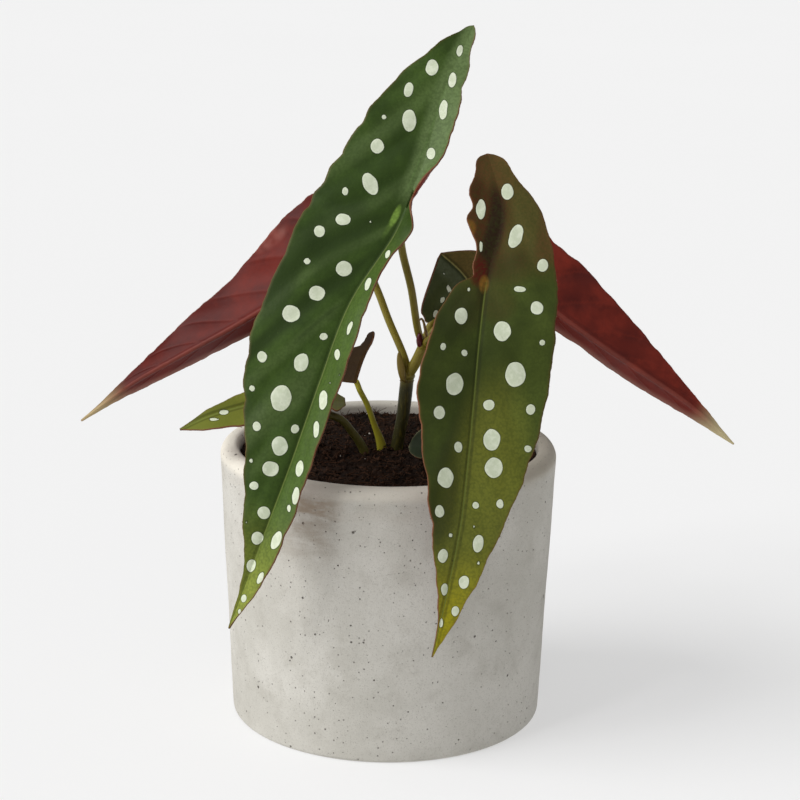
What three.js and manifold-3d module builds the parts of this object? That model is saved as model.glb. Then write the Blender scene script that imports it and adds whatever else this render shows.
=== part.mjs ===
import * as THREE from 'three';
import { mergeVertices } from 'three/addons/utils/BufferGeometryUtils.js';
import Module from 'manifold-3d';

// A polka dot begonia in a cast concrete pot.
// Millimetres, +Z up. The origin is the centre of the pot's underside.
// Seen from the front, along +Y, the plant's right is +X.

const wasm = await Module();
wasm.setup();

// Pot
const potHeight = 112;
const potTopRadius = 67.5;
const potBaseRadius = 63;
const potWall = 7.5;
const potFloor = 9;
const outerRimRound = 4.6;
const innerRimRound = 2.4;
const baseRound = 1.6;
const innerFloorRound = 4;
const potSides = 64;

// Soil, which fills the pot to just under the rim
const fit = 0.3;
const soilDepthBelowRim = 4;
const soilSides = 44;
const soilRings = 7;
const soilUneven = 0.9;

// Shoots
const rootedDepth = 24;
const caneRadius = 2.6;
const branchRadius = 2.2;
const stalkRadius = 1.7;
const thinStalkRadius = 1.3;
const stalkSides = 8;

// Leaf blades
const bladeThickness = 0.8;
const seatDepth = bladeThickness;
const seatApproach = 5;
const slopeStep = 1e-3;

const soilTop = potHeight - soilDepthBelowRim;

function degrees(angle) {
  return (angle * Math.PI) / 180;
}

// A value or a point part of the way along a list, on a smooth curve through every entry.
function along(list, part) {
  const place = Math.min(Math.max(part, 0), 1) * (list.length - 1);
  const index = Math.min(Math.floor(place), list.length - 2);
  const step = place - index;
  if (Array.isArray(list[0])) {
    return list[0].map((_, axis) => along(list.map((entry) => entry[axis]), part));
  }
  const here = list[index];
  const next = list[index + 1];
  const before = index > 0 ? list[index - 1] : 2 * here - next;
  const after = index + 2 < list.length ? list[index + 2] : 2 * next - here;
  const leave = (next - before) / 2;
  const arrive = (after - here) / 2;
  const bend = 3 * (next - here) - 2 * leave - arrive;
  const twist = 2 * (here - next) + leave + arrive;
  return here + step * (leave + step * (bend + step * twist));
}

function alongList(list, part) {
  return list.length > 1 ? along(list, part) : list[0];
}

// Closed meshes: welded corners, no triangle without area
function weld(geometry) {
  const bare = geometry.clone();
  bare.deleteAttribute('normal');
  bare.deleteAttribute('uv');
  const joined = mergeVertices(bare, 1e-4);
  const kept = [];
  const index = joined.index.array;
  for (let i = 0; i < index.length; i += 3) {
    const [a, b, c] = [index[i], index[i + 1], index[i + 2]];
    if (a !== b && b !== c && c !== a) kept.push(a, b, c);
  }
  joined.setIndex(kept);
  return joined;
}

function toSolid(geometry) {
  const closed = weld(geometry);
  return new wasm.Manifold(new wasm.Mesh({
    numProp: 3,
    vertProperties: new Float32Array(closed.attributes.position.array),
    triVerts: new Uint32Array(closed.index.array),
  }));
}

function toGeometry(solid) {
  const mesh = solid.getMesh();
  const geometry = new THREE.BufferGeometry();
  geometry.setAttribute('position', new THREE.BufferAttribute(mesh.vertProperties, 3));
  geometry.setIndex(new THREE.BufferAttribute(mesh.triVerts, 1));
  return geometry;
}

function joinAll(geometries) {
  return geometries.map(toSolid).reduce((whole, piece) => whole.add(piece));
}

function named(name, geometry, colour, roughness) {
  const material = new THREE.MeshStandardMaterial({ color: colour, roughness, metalness: 0 });
  const mesh = new THREE.Mesh(geometry, material);
  geometry.computeVertexNormals();
  mesh.name = name;
  return mesh;
}

// Quarter-round corner of a turned profile, from one angle to the other
function corner(centreRadius, centreHeight, round, from, to, steps) {
  return Array.from({ length: steps + 1 }, (_, i) => {
    const angle = degrees(from + ((to - from) * i) / steps);
    return new THREE.Vector2(centreRadius + round * Math.cos(angle), centreHeight + round * Math.sin(angle));
  });
}

function wallRadius(height) {
  return potBaseRadius + ((potTopRadius - potBaseRadius) * height) / potHeight;
}

// The cast pot: a slightly tapered cup with a rounded rim.
function makePot() {
  const floorRadius = wallRadius(potFloor) - potWall;
  const rimInside = potTopRadius - potWall;
  const profile = [
    new THREE.Vector2(0, 0),
    ...corner(potBaseRadius - baseRound, baseRound, baseRound, -90, 0, 2),
    ...corner(potTopRadius - outerRimRound, potHeight - outerRimRound, outerRimRound, 0, 90, 5),
    ...corner(rimInside + innerRimRound, potHeight - innerRimRound, innerRimRound, 90, 180, 3),
    ...corner(floorRadius - innerFloorRound, potFloor + innerFloorRound, innerFloorRound, 0, -90, 2),
    new THREE.Vector2(0, potFloor),
  ];
  return weld(new THREE.LatheGeometry(profile, potSides));
}

// Height of the crumbly soil surface at a point
function soilHeight(x, y) {
  const mound = 1 - Math.hypot(x, y) / potTopRadius;
  const lumps = Math.sin(x * 0.21 + 0.6) * Math.cos(y * 0.17 - 0.4) + 0.6 * Math.sin(x * 0.37 - y * 0.29 + 1.9);
  return soilTop + soilUneven * (mound + 0.5 * lumps - 0.4);
}

// The peat: it fills the pot, with a plain hole for each shoot.
function makeSoil(holes) {
  const bottom = potFloor + fit;
  const topRadius = wallRadius(soilTop) - potWall - fit;
  const lowRadius = wallRadius(bottom) - potWall - fit;
  const profile = [
    new THREE.Vector2(0, bottom),
    new THREE.Vector2(lowRadius - innerFloorRound, bottom),
    new THREE.Vector2(lowRadius - fit, bottom + innerFloorRound),
    new THREE.Vector2(topRadius - fit, soilTop - 2),
  ];
  for (let ring = soilRings; ring >= 0; ring -= 1) {
    profile.push(new THREE.Vector2(((topRadius - fit) * ring) / soilRings, soilTop));
  }
  const upright = new THREE.LatheGeometry(profile, soilSides).rotateX(Math.PI / 2);
  const place = upright.attributes.position;
  for (let i = 0; i < place.count; i += 1) {
    const onTop = Math.abs(place.getZ(i) - soilTop) < 1e-3;
    if (onTop) place.setZ(i, soilHeight(place.getX(i), place.getY(i)));
  }
  return holes.reduce((soil, hole) => soil.subtract(toSolid(hole)), toSolid(upright));
}

// A round stalk along a smooth path
function stalk(points, radius, steps) {
  const path = new THREE.CatmullRomCurve3(points.map((point) => new THREE.Vector3(...point)));
  const outline = Array.from({ length: stalkSides }, (_, i) => {
    const angle = (2 * Math.PI * i) / stalkSides;
    return new THREE.Vector2(radius * Math.cos(angle), radius * Math.sin(angle));
  });
  return new THREE.ExtrudeGeometry(new THREE.Shape(outline), { steps, bevelEnabled: false, extrudePath: path });
}

// A swelling, bud or papery bract: a ball stretched to the given half-sizes
function knob({ centre, halfSizes, lean }) {
  const ball = new THREE.SphereGeometry(1, 10, 7);
  return ball.scale(...halfSizes).rotateY(degrees(lean)).translate(...centre);
}

// Leaf blades. The spine runs from the tip of the upper lobe through the point where the stalk
// joins, and on along the midrib to the leaf's tip. `across` points to the leaf's right, seen on
// its upper side with the tip down. left and right are the half-widths at even steps along the
// spine, and blunt is the part of it that the upper lobe's round end takes. lift is the angle in
// degrees that each half rises from the midrib towards the upper side, and curl what it gains by
// its margin. A sinus is the bay between the two basal lobes. Both margins are scalloped and
// waved, and pleats run between the side veins. cells are rows and columns.
const leaves = {
  leaf_front_left: {
    colour: 0x35561f,
    spine: [
      [31, 8, 277], [20, -6, 254], [12.5, -19, 229], [2.5, -31, 204], [-15, -44, 178],
      [-26, -56.5, 150], [-36, -66.5, 122], [-47, -75, 93], [-58.5, -81, 62],
    ],
    across: [[1, -0.1, 0]],
    left: [2.2, 13.4, 23.5, 30, 33.5, 35, 31, 31, 26.5, 18.5, 11.5, 3, 0.4],
    right: [
      1.4, 3.6, 6.2, 7.4, 8.8, 8.6, 9.4, 8.4, 7, 9.5, 7, 9.3, 11.3, 12.4, 13, 12.4, 11.5, 11, 11, 11,
      11, 10, 8, 4.5, 0.4,
    ],
    liftLeft: [8, 10, 12, 10],
    liftRight: [6, 10, 18, 50, 52, 50, 45, 40, 35],
    curlLeft: [0, -10, -15, -10],
    curlRight: [
      0, 0, 0, 5, 10, 25, 42, 80, 70, -10, -10, -12, -15, -15, -15, -15, -15, -15, -12, -10,
      -10, -10, -10, -5, 0,
    ],
    sinus: { side: 1, at: 0.322, reach: 0.015, depth: 0.85 },
    blunt: 0.014,
    scallop: { depth: 0.9, count: 15 },
    wave: { height: 1, count: 7, shift: 0.4 },
    pleat: { height: 0.7, count: 11, slant: 0.2 },
    cells: [40, 8],
  },
  leaf_front_right: {
    colour: 0x4a4f1e,
    spine: [
      [36, -24, 232], [41, -37, 213], [36, -50, 192], [33, -62, 171], [31, -71, 149],
      [29, -79, 127], [26.5, -85, 104], [22, -89.5, 80], [17, -92, 56],
    ],
    across: [[1, 0.1, 0]],
    left: [
      5.8, 7.9, 12.3, 11.5, 12.9, 7.4, 6.8, 12.4, 16.4, 20.3, 22, 24.5, 25, 23.5, 21.7, 20, 17, 15.3,
      12.8, 10.5, 7.3, 4.2, 1.9, 0.6, 0.4,
    ],
    right: [4.2, 10.4, 20.5, 27, 28, 28.5, 27, 24.5, 20.5, 15.5, 11, 6, 0.4],
    liftLeft: [10, 14, 30, 34, 30, 20],
    liftRight: [5, 8, 8, 10, 12, 12],
    curlLeft: [0, -10, -15, -10],
    curlRight: [-10, -18, -20, -10],
    sinus: { side: -1, at: 0.266, reach: 0.014, depth: 0.3 },
    blunt: 0.022,
    scallop: { depth: 0.6, count: 11 },
    wave: { height: 0.9, count: 6, shift: 1.1 },
    pleat: { height: 0.6, count: 9, slant: 0.2 },
    cells: [34, 8],
  },
  leaf_back_left: {
    colour: 0x7a1f18,
    spine: [
      [-4, 4, 211], [-15, 10, 189], [-38, 15.5, 171], [-63, 20.5, 154], [-84, 25, 141],
      [-106, 30, 127], [-128.5, 34, 109.5],
    ],
    across: [[-0.1, 0.15, 1]],
    left: [0.4, 9, 13, 15, 13, 11, 10, 9, 7, 3.5, 0.4],
    right: [8, 28, 31.5, 29.5, 23.5, 18, 15, 10.5, 6, 2.5, 0.4],
    liftLeft: [40, 55, 60, 45],
    liftRight: [15, 25, 25, 15],
    curlLeft: [0],
    curlRight: [-10],
    sinus: { side: -1, at: 0.16, reach: 0.03, depth: 0.6 },
    wave: { height: 0.8, count: 5, shift: 0.2 },
    pleat: { height: 0.6, count: 8, slant: 0.2 },
    cells: [26, 6],
  },
  leaf_back_right: {
    colour: 0x6e2418,
    spine: [
      [40, -6, 206], [46, 1, 184], [62, 7, 168], [82, 14, 152], [103, 20, 137],
      [124, 25, 122], [144, 30, 104],
    ],
    across: [[-0.1, -0.15, -1]],
    left: [2, 17, 24.5, 25, 25.5, 22, 17, 12, 6.5, 3, 0.4],
    right: [0.4, 7, 8, 9, 9, 9, 10, 10, 8, 4.5, 0.4],
    liftLeft: [15, 25, 25, 15],
    liftRight: [40, 55, 60, 45],
    curlLeft: [-10],
    curlRight: [0],
    sinus: { side: 1, at: 0.16, reach: 0.03, depth: 0.6 },
    wave: { height: 0.8, count: 5, shift: 1.3 },
    pleat: { height: 0.6, count: 8, slant: 0.2 },
    cells: [26, 6],
  },
  leaf_middle: {
    colour: 0x2c3a22,
    spine: [[40.2, -4, 162.5], [34.3, -8.5, 173.9], [27.5, -13, 184.1], [19.2, -17.5, 192.4]],
    across: [[-0.55, -0.42, -0.73]],
    left: [1.5, 10, 14, 15, 13, 8.8, 0.4],
    right: [1.5, 4.5, 8, 11, 13, 14, 15, 18, 24, 27, 25.5, 22, 3.2],
    liftLeft: [40],
    liftRight: [5],
    curlLeft: [0],
    curlRight: [10],
    sinus: { side: -1, at: 0.33, reach: 0.06, depth: 0.7 },
    wave: { height: 0.5, count: 3, shift: 0.8 },
    pleat: { height: 0.4, count: 5, slant: 0.2 },
    cells: [16, 6],
  },
  leaf_low_left: {
    colour: 0x5c6b24,
    spine: [
      [-17.5, -6, 129.5], [-25.5, -9, 131], [-35, -13, 132.5], [-46.5, -16, 133], [-57, -19, 131],
      [-70, -22, 127.5], [-81.5, -24, 122.5],
    ],
    across: [[0, -0.8, -0.6]],
    left: [2, 6, 8, 8, 7, 6, 4.5, 2.5, 0.4],
    right: [2, 7, 11, 13, 13, 12, 10.5, 7, 0.4],
    liftLeft: [10, 20, 15],
    liftRight: [0, 0, 5],
    curlLeft: [0],
    curlRight: [0, 15, 40, 15, 0],
    sinus: { side: 1, at: 0.14, reach: 0.04, depth: 0.5 },
    wave: { height: 0.5, count: 4, shift: 0.5 },
    pleat: { height: 0.4, count: 6, slant: 0.2 },
    cells: [18, 6],
  },
  leaf_young: {
    colour: 0x4a3a20,
    spine: [
      [-6.6, 9, 155.1], [-7.5, 7, 151.6], [-9.7, 4.5, 147.7], [-11.3, 2, 144.1],
      [-12.5, -0.5, 140.6], [-13.6, -3, 136.7],
    ],
    across: [[1, -0.55, 0.1]],
    left: [2.4, 2.8, 3.4, 3.6, 4.6, 8, 9.5, 10, 9.8, 9.3, 8.8, 8.3, 7.6],
    right: [1.2, 1, 1, 1, 0.9, 0.8, 0.6],
    liftLeft: [0],
    liftRight: [20],
    curlLeft: [0, 10, 15],
    curlRight: [0],
    sinus: { side: -1, at: 0.34, reach: 0.03, depth: 0.15 },
    blunt: 0.1,
    wave: { height: 0.3, count: 2, shift: 0.2 },
    pleat: { height: 0.3, count: 5, slant: 0.2 },
    cells: [16, 6],
  },
  leaf_small_right: {
    colour: 0x2a3220,
    spine: [[8, -22, 116], [14.5, -24, 117], [22.5, -26, 118.5], [31, -28, 119], [38.5, -30, 116]],
    across: [[0, 0.7, 0.7]],
    left: [5, 6.5, 7, 7, 6, 3.5, 0.4],
    right: [5, 7, 8, 8, 6.5, 4, 0.4],
    liftLeft: [10],
    liftRight: [10],
    curlLeft: [0],
    curlRight: [0],
    sinus: { side: -1, at: 0.3, reach: 0.05, depth: 0.3 },
    blunt: 0.2,
    wave: { height: 0.4, count: 3, shift: 0.9 },
    pleat: { height: 0.3, count: 4, slant: 0.2 },
    cells: [12, 6],
  },
};

// Where each stalk joins its blade: the blade's name, how far along the spine and across it, and
// how far behind the blade the stalk turns square to it
const joins = {
  front_left: ['leaf_front_left', 0.35, 0],
  front_right: ['leaf_front_right', 0.26, 0],
  back_left: ['leaf_back_left', 0.2, 0],
  back_right: ['leaf_back_right', 0.21, 0],
  middle: ['leaf_middle', 0.34, 0],
  low_left: ['leaf_low_left', 0.13, 0.3],
  young: ['leaf_young', 0.97, 0, 1.5],
  small_right: ['leaf_small_right', 0.35, 0],
};

// Routes of the shoots, from low to high. The last point of a stalk comes from its blade.
const nodeLow = [7.2, -1, 139.5];
const nodeHigh = [13.5, -3, 152.5];
const caneFoot = [[2.2, 0.5, soilTop - rootedDepth], [3.2, 0.8, soilTop], [5.6, 0, 123], nodeLow];
const branch = [nodeLow, [10.5, -2, 145.5], nodeHigh];
const swellings = {
  lowNode: { centre: nodeLow, halfSizes: [3.1, 3.1, 2.2], lean: 0 },
  highNode: { centre: nodeHigh, halfSizes: [2.7, 2.7, 2.4], lean: 0 },
  leftBract: { centre: [3.2, -2.4, 143.5], halfSizes: [1.3, 1.1, 5], lean: -10 },
  rightBract: { centre: [14, -7.6, 159], halfSizes: [0.8, 1, 4.8], lean: -8 },
  bud: { centre: [11.7, -6.6, 155.4], halfSizes: [1.3, 1.4, 2.9], lean: 0 },
};
const stalkRoutes = {
  front_left: [nodeHigh, [11.4, -4.4, 157.5], [8.2, -11, 176.5], [3.8, -21, 198.5]],
  front_right: [nodeHigh, [16.3, -13, 157.9], [23.7, -28, 169], [30.7, -41, 179.7]],
  back_left: [nodeLow, [6.4, 0, 145], [-0.6, 4, 161], [-5.6, 6, 173.5], [-11, 7.5, 183.5]],
  back_right: [nodeHigh, [17, 4, 160.5], [29, 6, 170], [40, 0.5, 178]],
  middle: [nodeHigh, [18, 0, 158.5], [27, 0, 167]],
};
const youngRoute = [
  [-4, 1.2, soilTop - rootedDepth], [-2.6, 1, soilTop], [-5.8, 0.2, 118.7], [-9.1, -1.2, 128.1], [-11.7, -2.4, 133.5],
];
const lowRoute = [[-8, -3, soilTop - rootedDepth], [-9.6, -3.5, soilTop], [-15, -5, 117.5], [-19, -6.5, 122.5]];
const smallRoute = [[25, -12, soilTop - rootedDepth], [25, -13, soilTop], [24, -17, 112]];

// The blade's half-width at a place, with its blunt lobe, its scallops and the bay at its base
function halfWidth(leaf, u, side) {
  const { sinus, scallop = { depth: 0, count: 1 }, blunt = 0 } = leaf;
  let width = along(side < 0 ? leaf.left : leaf.right, u);
  const fade = Math.min(width / 12, 1);
  const bulge = Math.abs(Math.sin(Math.PI * (scallop.count * u + 0.25 * side))) - 0.6;
  width += fade * scallop.depth * bulge;
  if (u < blunt) width *= Math.max(Math.sqrt(1 - (1 - u / blunt) ** 2), 0.08);
  if (sinus.side !== side) return width;
  return width * (1 - sinus.depth * Math.exp(-(((u - sinus.at) / sinus.reach) ** 2)));
}

// A point of the blade's middle surface. u runs along the spine and v across, -1 to 1.
function bladePoint(leaf, u, v) {
  const side = v < 0 ? -1 : 1;
  const out = Math.abs(v);
  const centre = new THREE.Vector3(...along(leaf.spine, u));
  const ahead = new THREE.Vector3(...along(leaf.spine, Math.min(u + slopeStep, 1)));
  const behind = new THREE.Vector3(...along(leaf.spine, Math.max(u - slopeStep, 0)));
  const down = ahead.sub(behind).normalize();
  const across = new THREE.Vector3(...alongList(leaf.across, u));
  across.addScaledVector(down, -across.dot(down)).normalize();
  const up = new THREE.Vector3().crossVectors(down, across);

  const lift = degrees(alongList(side < 0 ? leaf.liftLeft : leaf.liftRight, u));
  const curl = degrees(alongList(side < 0 ? leaf.curlLeft : leaf.curlRight, u)) || slopeStep;
  const width = halfWidth(leaf, u, side);
  const reach = (width * (Math.sin(lift + curl * out) - Math.sin(lift))) / curl;
  let rise = (-width * (Math.cos(lift + curl * out) - Math.cos(lift))) / curl;

  const { wave, pleat } = leaf;
  const fade = Math.min(width / 12, 1);
  rise += fade * wave.height * out ** 2 * Math.sin(2 * Math.PI * wave.count * u + wave.shift * side);
  const vein = Math.sin(2 * Math.PI * pleat.count * (u - pleat.slant * out));
  rise += fade * pleat.height * 4 * out * (1 - out) * vein;
  return centre.addScaledVector(across, side * reach).addScaledVector(up, rise);
}

// The upper side's direction at a point of the blade
function bladeNormal(leaf, u, v) {
  const step = 0.01;
  const down = bladePoint(leaf, Math.min(u + step, 1), v).sub(bladePoint(leaf, Math.max(u - step, 0), v));
  const over = bladePoint(leaf, u, Math.min(v + step, 1)).sub(bladePoint(leaf, u, Math.max(v - step, -1)));
  return down.cross(over).normalize();
}

// A blade as a closed solid, split into triangles alike on its two faces.
function makeBlade(leaf, thickness) {
  const [rows, columns] = leaf.cells;
  const points = [];
  const faces = [];
  for (const level of [1, -1]) {
    for (let i = 0; i <= rows; i += 1) {
      for (let j = 0; j <= columns; j += 1) {
        const [u, v] = [i / rows, (2 * j) / columns - 1];
        const offset = bladeNormal(leaf, u, v).multiplyScalar((level * thickness) / 2);
        points.push(...bladePoint(leaf, u, v).add(offset).toArray());
      }
    }
  }
  const lower = (rows + 1) * (columns + 1);
  const at = (i, j) => i * (columns + 1) + j;
  const quad = (a, b, c, d) => faces.push(a, b, c, a, c, d);
  for (let i = 0; i < rows; i += 1) {
    for (let j = 0; j < columns; j += 1) {
      const [a, b, c, d] = [at(i, j), at(i + 1, j), at(i + 1, j + 1), at(i, j + 1)];
      faces.push(a, b, c, a, c, d);
      faces.push(lower + a, lower + c, lower + b, lower + a, lower + d, lower + c);
    }
    quad(at(i, 0), lower + at(i, 0), lower + at(i + 1, 0), at(i + 1, 0));
    quad(at(i + 1, columns), lower + at(i + 1, columns), lower + at(i, columns), at(i, columns));
  }
  for (let j = 0; j < columns; j += 1) {
    quad(at(0, j + 1), lower + at(0, j + 1), lower + at(0, j), at(0, j));
    quad(at(rows, j), lower + at(rows, j), lower + at(rows, j + 1), at(rows, j + 1));
  }
  const geometry = new THREE.BufferGeometry();
  geometry.setAttribute('position', new THREE.Float32BufferAttribute(points, 3));
  geometry.setIndex(faces);
  return geometry;
}

// The last two points of a stalk: it turns square to the blade and ends at its underside.
function seat(join) {
  const [name, u, v, approach = seatApproach] = join;
  const leaf = leaves[name];
  const below = (depth) => bladePoint(leaf, u, v).addScaledVector(bladeNormal(leaf, u, v), -depth).toArray();
  return [below(approach), below(seatDepth)];
}

function bladeWithGap(name) {
  return toSolid(makeBlade(leaves[name], bladeThickness + 2 * fit));
}

// A stalk from the start of its route up to its blade's underside
function stalkTo(key, route, radius) {
  return stalk([...route, ...seat(joins[key])], radius, 4 * route.length);
}

// Leaves a gap between a shoot and the blades that it carries.
function clearOf(blades, shoot) {
  return blades.reduce((rest, name) => rest.subtract(bladeWithGap(name)), shoot);
}

// The main shoot: cane, nodes, leaf stalks, bracts and a bud, grown as one piece.
function makeCane() {
  const shoot = joinAll([
    stalk(caneFoot, caneRadius, 8),
    stalk(branch, branchRadius, 4),
    ...Object.values(swellings).map(knob),
    ...Object.entries(stalkRoutes).map(([key, route]) => stalkTo(key, route, stalkRadius)),
  ]);
  return clearOf(Object.keys(stalkRoutes).map((key) => joins[key][0]), shoot);
}

function makeSingle(key, route, radius) {
  return clearOf([joins[key][0]], toSolid(stalkTo(key, route, radius)));
}

// The hole that a shoot stands in: wider and deeper than the shoot by the fit
function holeFor([foot, ...rest], radius) {
  const [x, y, z] = foot;
  return stalk([[x, y, z - fit], ...rest], radius + fit, 2 * rest.length + 2);
}

const rootHoles = [
  holeFor(caneFoot, caneRadius),
  holeFor(youngRoute, thinStalkRadius),
  holeFor(lowRoute, stalkRadius),
  holeFor(smallRoute, thinStalkRadius),
];

const plant = new THREE.Group();
plant.add(named('pot', makePot().rotateX(Math.PI / 2), 0xb4b1ab, 0.85));
plant.add(named('soil', toGeometry(makeSoil(rootHoles)), 0x2a1c15, 0.95));
plant.add(named('cane', toGeometry(makeCane()), 0x5b6122, 0.5));
const youngStalk = makeSingle('young', youngRoute, thinStalkRadius);
plant.add(named('young_stalk', toGeometry(youngStalk), 0x8a8a2c, 0.5));
const lowStalk = makeSingle('low_left', lowRoute, stalkRadius);
plant.add(named('low_stalk', toGeometry(lowStalk), 0x6a6a2c, 0.5));
const smallStalk = makeSingle('small_right', smallRoute, thinStalkRadius);
plant.add(named('small_stalk', toGeometry(smallStalk), 0x6a6a2c, 0.5));
for (const [name, leaf] of Object.entries(leaves)) {
  plant.add(named(name, makeBlade(leaf, bladeThickness), leaf.colour, 0.45));
}

export default plant;
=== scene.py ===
# %% [markdown]
# # A polka dot begonia in a concrete pot
#
# The plant stands on its pot's flat underside at the origin, with +Z up and the picture's camera in
# front of it, on the -Y side. Lengths are metres, but the leaves and shoots are drawn in
# millimetres, because that is how one measures a leaf, and are turned into metres at the end.
#
# The solid model gives every piece its place and size. Each piece here replaces one solid with a
# finer one of the same form, and adds what only shows close up: spots, veins, crumbs and pores.

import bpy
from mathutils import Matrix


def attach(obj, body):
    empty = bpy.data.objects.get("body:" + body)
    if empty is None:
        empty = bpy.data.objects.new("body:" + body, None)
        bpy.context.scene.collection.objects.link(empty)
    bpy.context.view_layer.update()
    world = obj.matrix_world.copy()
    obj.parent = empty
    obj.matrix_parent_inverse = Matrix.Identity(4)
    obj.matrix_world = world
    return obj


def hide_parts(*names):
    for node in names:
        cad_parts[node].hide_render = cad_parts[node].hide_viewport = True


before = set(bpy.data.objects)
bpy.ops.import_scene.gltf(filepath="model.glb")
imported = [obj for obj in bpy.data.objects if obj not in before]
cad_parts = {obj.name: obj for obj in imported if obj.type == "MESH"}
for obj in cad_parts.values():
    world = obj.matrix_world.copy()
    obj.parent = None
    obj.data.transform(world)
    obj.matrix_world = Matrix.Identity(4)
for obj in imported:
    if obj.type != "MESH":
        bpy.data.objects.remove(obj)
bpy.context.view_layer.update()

# %% The tools of this lesson
import math

import bpy
import numpy as np
from mathutils import Matrix, Vector, noise

MM = 0.001
scene = bpy.context.scene

# %% [markdown]
# ## The camera
#
# A camera is found from circles whose shape is known: the pot's rim and foot are circles, so how
# flat their ellipses look gives the camera's height, and how much smaller the far side looks gives
# its distance. Here it stands 0.88 m from the pot, 19 degrees above it, with a long lens. The point
# on the pot's axis 60 mm up shows a little below and left of the picture's middle.

# %% Where the camera stands
picture_side = 800
aim_height = 60.0
camera_distance = 876.851
camera_elevation = math.radians(19.26)
camera_roll = math.radians(-0.701)
focal_pixels = 2138.973
aim_x, aim_y = 387.095, 563.354

camera_place = Vector((
    0,
    -camera_distance * math.cos(camera_elevation),
    camera_distance * math.sin(camera_elevation) + aim_height,
))
forward = (Vector((0, 0, aim_height)) - camera_place).normalized()
rightward = Vector((1, 0, 0))
upward = rightward.cross(forward)
looking = Matrix((rightward, upward, forward))

half_side = picture_side / 2
aim_slopes = (aim_x - half_side) / focal_pixels, (half_side - aim_y) / focal_pixels
towards_aim = Vector((*aim_slopes, 1)).normalized()
turn = Vector((0, 0, 1)).rotation_difference(towards_aim).to_matrix()
tip = Matrix.Rotation(camera_roll, 3, towards_aim)
camera_rows = tip @ turn @ looking


# %% Where a point shows in the picture
def picture(points):
    """Pixel coordinates, in a picture 800 pixels on a side, of points in millimetres."""
    seen = (np.asarray(points) - np.array(camera_place)) @ np.array(camera_rows).T
    x = half_side + focal_pixels * seen[..., 0] / seen[..., 2]
    y = half_side - focal_pixels * seen[..., 1] / seen[..., 2]
    return np.stack([x, y], -1)


rim_near_edge = [0, -67.5, 112]
print("rim's near edge shows at", picture(rim_near_edge).round(1))

# %% Making the camera
camera_data = bpy.data.cameras.new("camera")
camera_data.sensor_width = 36
camera_data.lens = focal_pixels / picture_side * camera_data.sensor_width
camera_data.clip_start = 0.01
camera_data.clip_end = 50
camera = bpy.data.objects.new("camera", camera_data)
scene.collection.objects.link(camera)
columns = Matrix((camera_rows[0], camera_rows[1], -camera_rows[2])).transposed()
camera.matrix_world = Matrix.Translation(camera_place * MM) @ columns.to_4x4()
scene.camera = camera
print("lens", round(camera_data.lens, 1), "mm at", [round(c, 4) for c in camera.location])

# %% [markdown]
# ## Colours and shader arithmetic
#
# A material is a small calculation done at every point of a surface. Written as node boxes it is
# hard to read, so the class below wraps one socket: adding or multiplying two of them makes the
# Math node that does it, and the material then reads as the formula that it is.


# %% Colours
def colour(tone):
    """A screen colour, 0 to 255 each, as the linear values that light works with."""
    linear = []
    for value in tone:
        share = value / 255
        linear.append(share / 12.92 if share <= 0.04045 else ((share + 0.055) / 1.055) ** 2.4)
    return (*linear, 1.0)


# %% One socket that can be calculated with
class Term:
    def __init__(self, look, socket):
        self.look = look
        self.socket = socket

    def math(self, operation, *others):
        return self.look.node("Math", {"operation": operation}, dict(enumerate((self, *others))))

    def __add__(self, other):
        return self.math("ADD", other)

    def __sub__(self, other):
        return self.math("SUBTRACT", other)

    def __mul__(self, other):
        return self.math("MULTIPLY", other)

    def __truediv__(self, other):
        return self.math("DIVIDE", other)

    def __rsub__(self, other):
        return self * -1 + other

    def __rtruediv__(self, other):
        return self.math("POWER", -1) * other

    __radd__ = __add__
    __rmul__ = __mul__

    def size(self):
        return self.math("ABSOLUTE")

    def rise(self, low, high):
        """Goes smoothly from 0 at low to 1 at high."""
        span = {"Value": self, "From Min": low, "From Max": high}
        return self.look.node("MapRange", {"interpolation_type": "SMOOTHSTEP"}, span)

    def fall(self, low, high):
        return 1 - self.rise(low, high)


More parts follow.
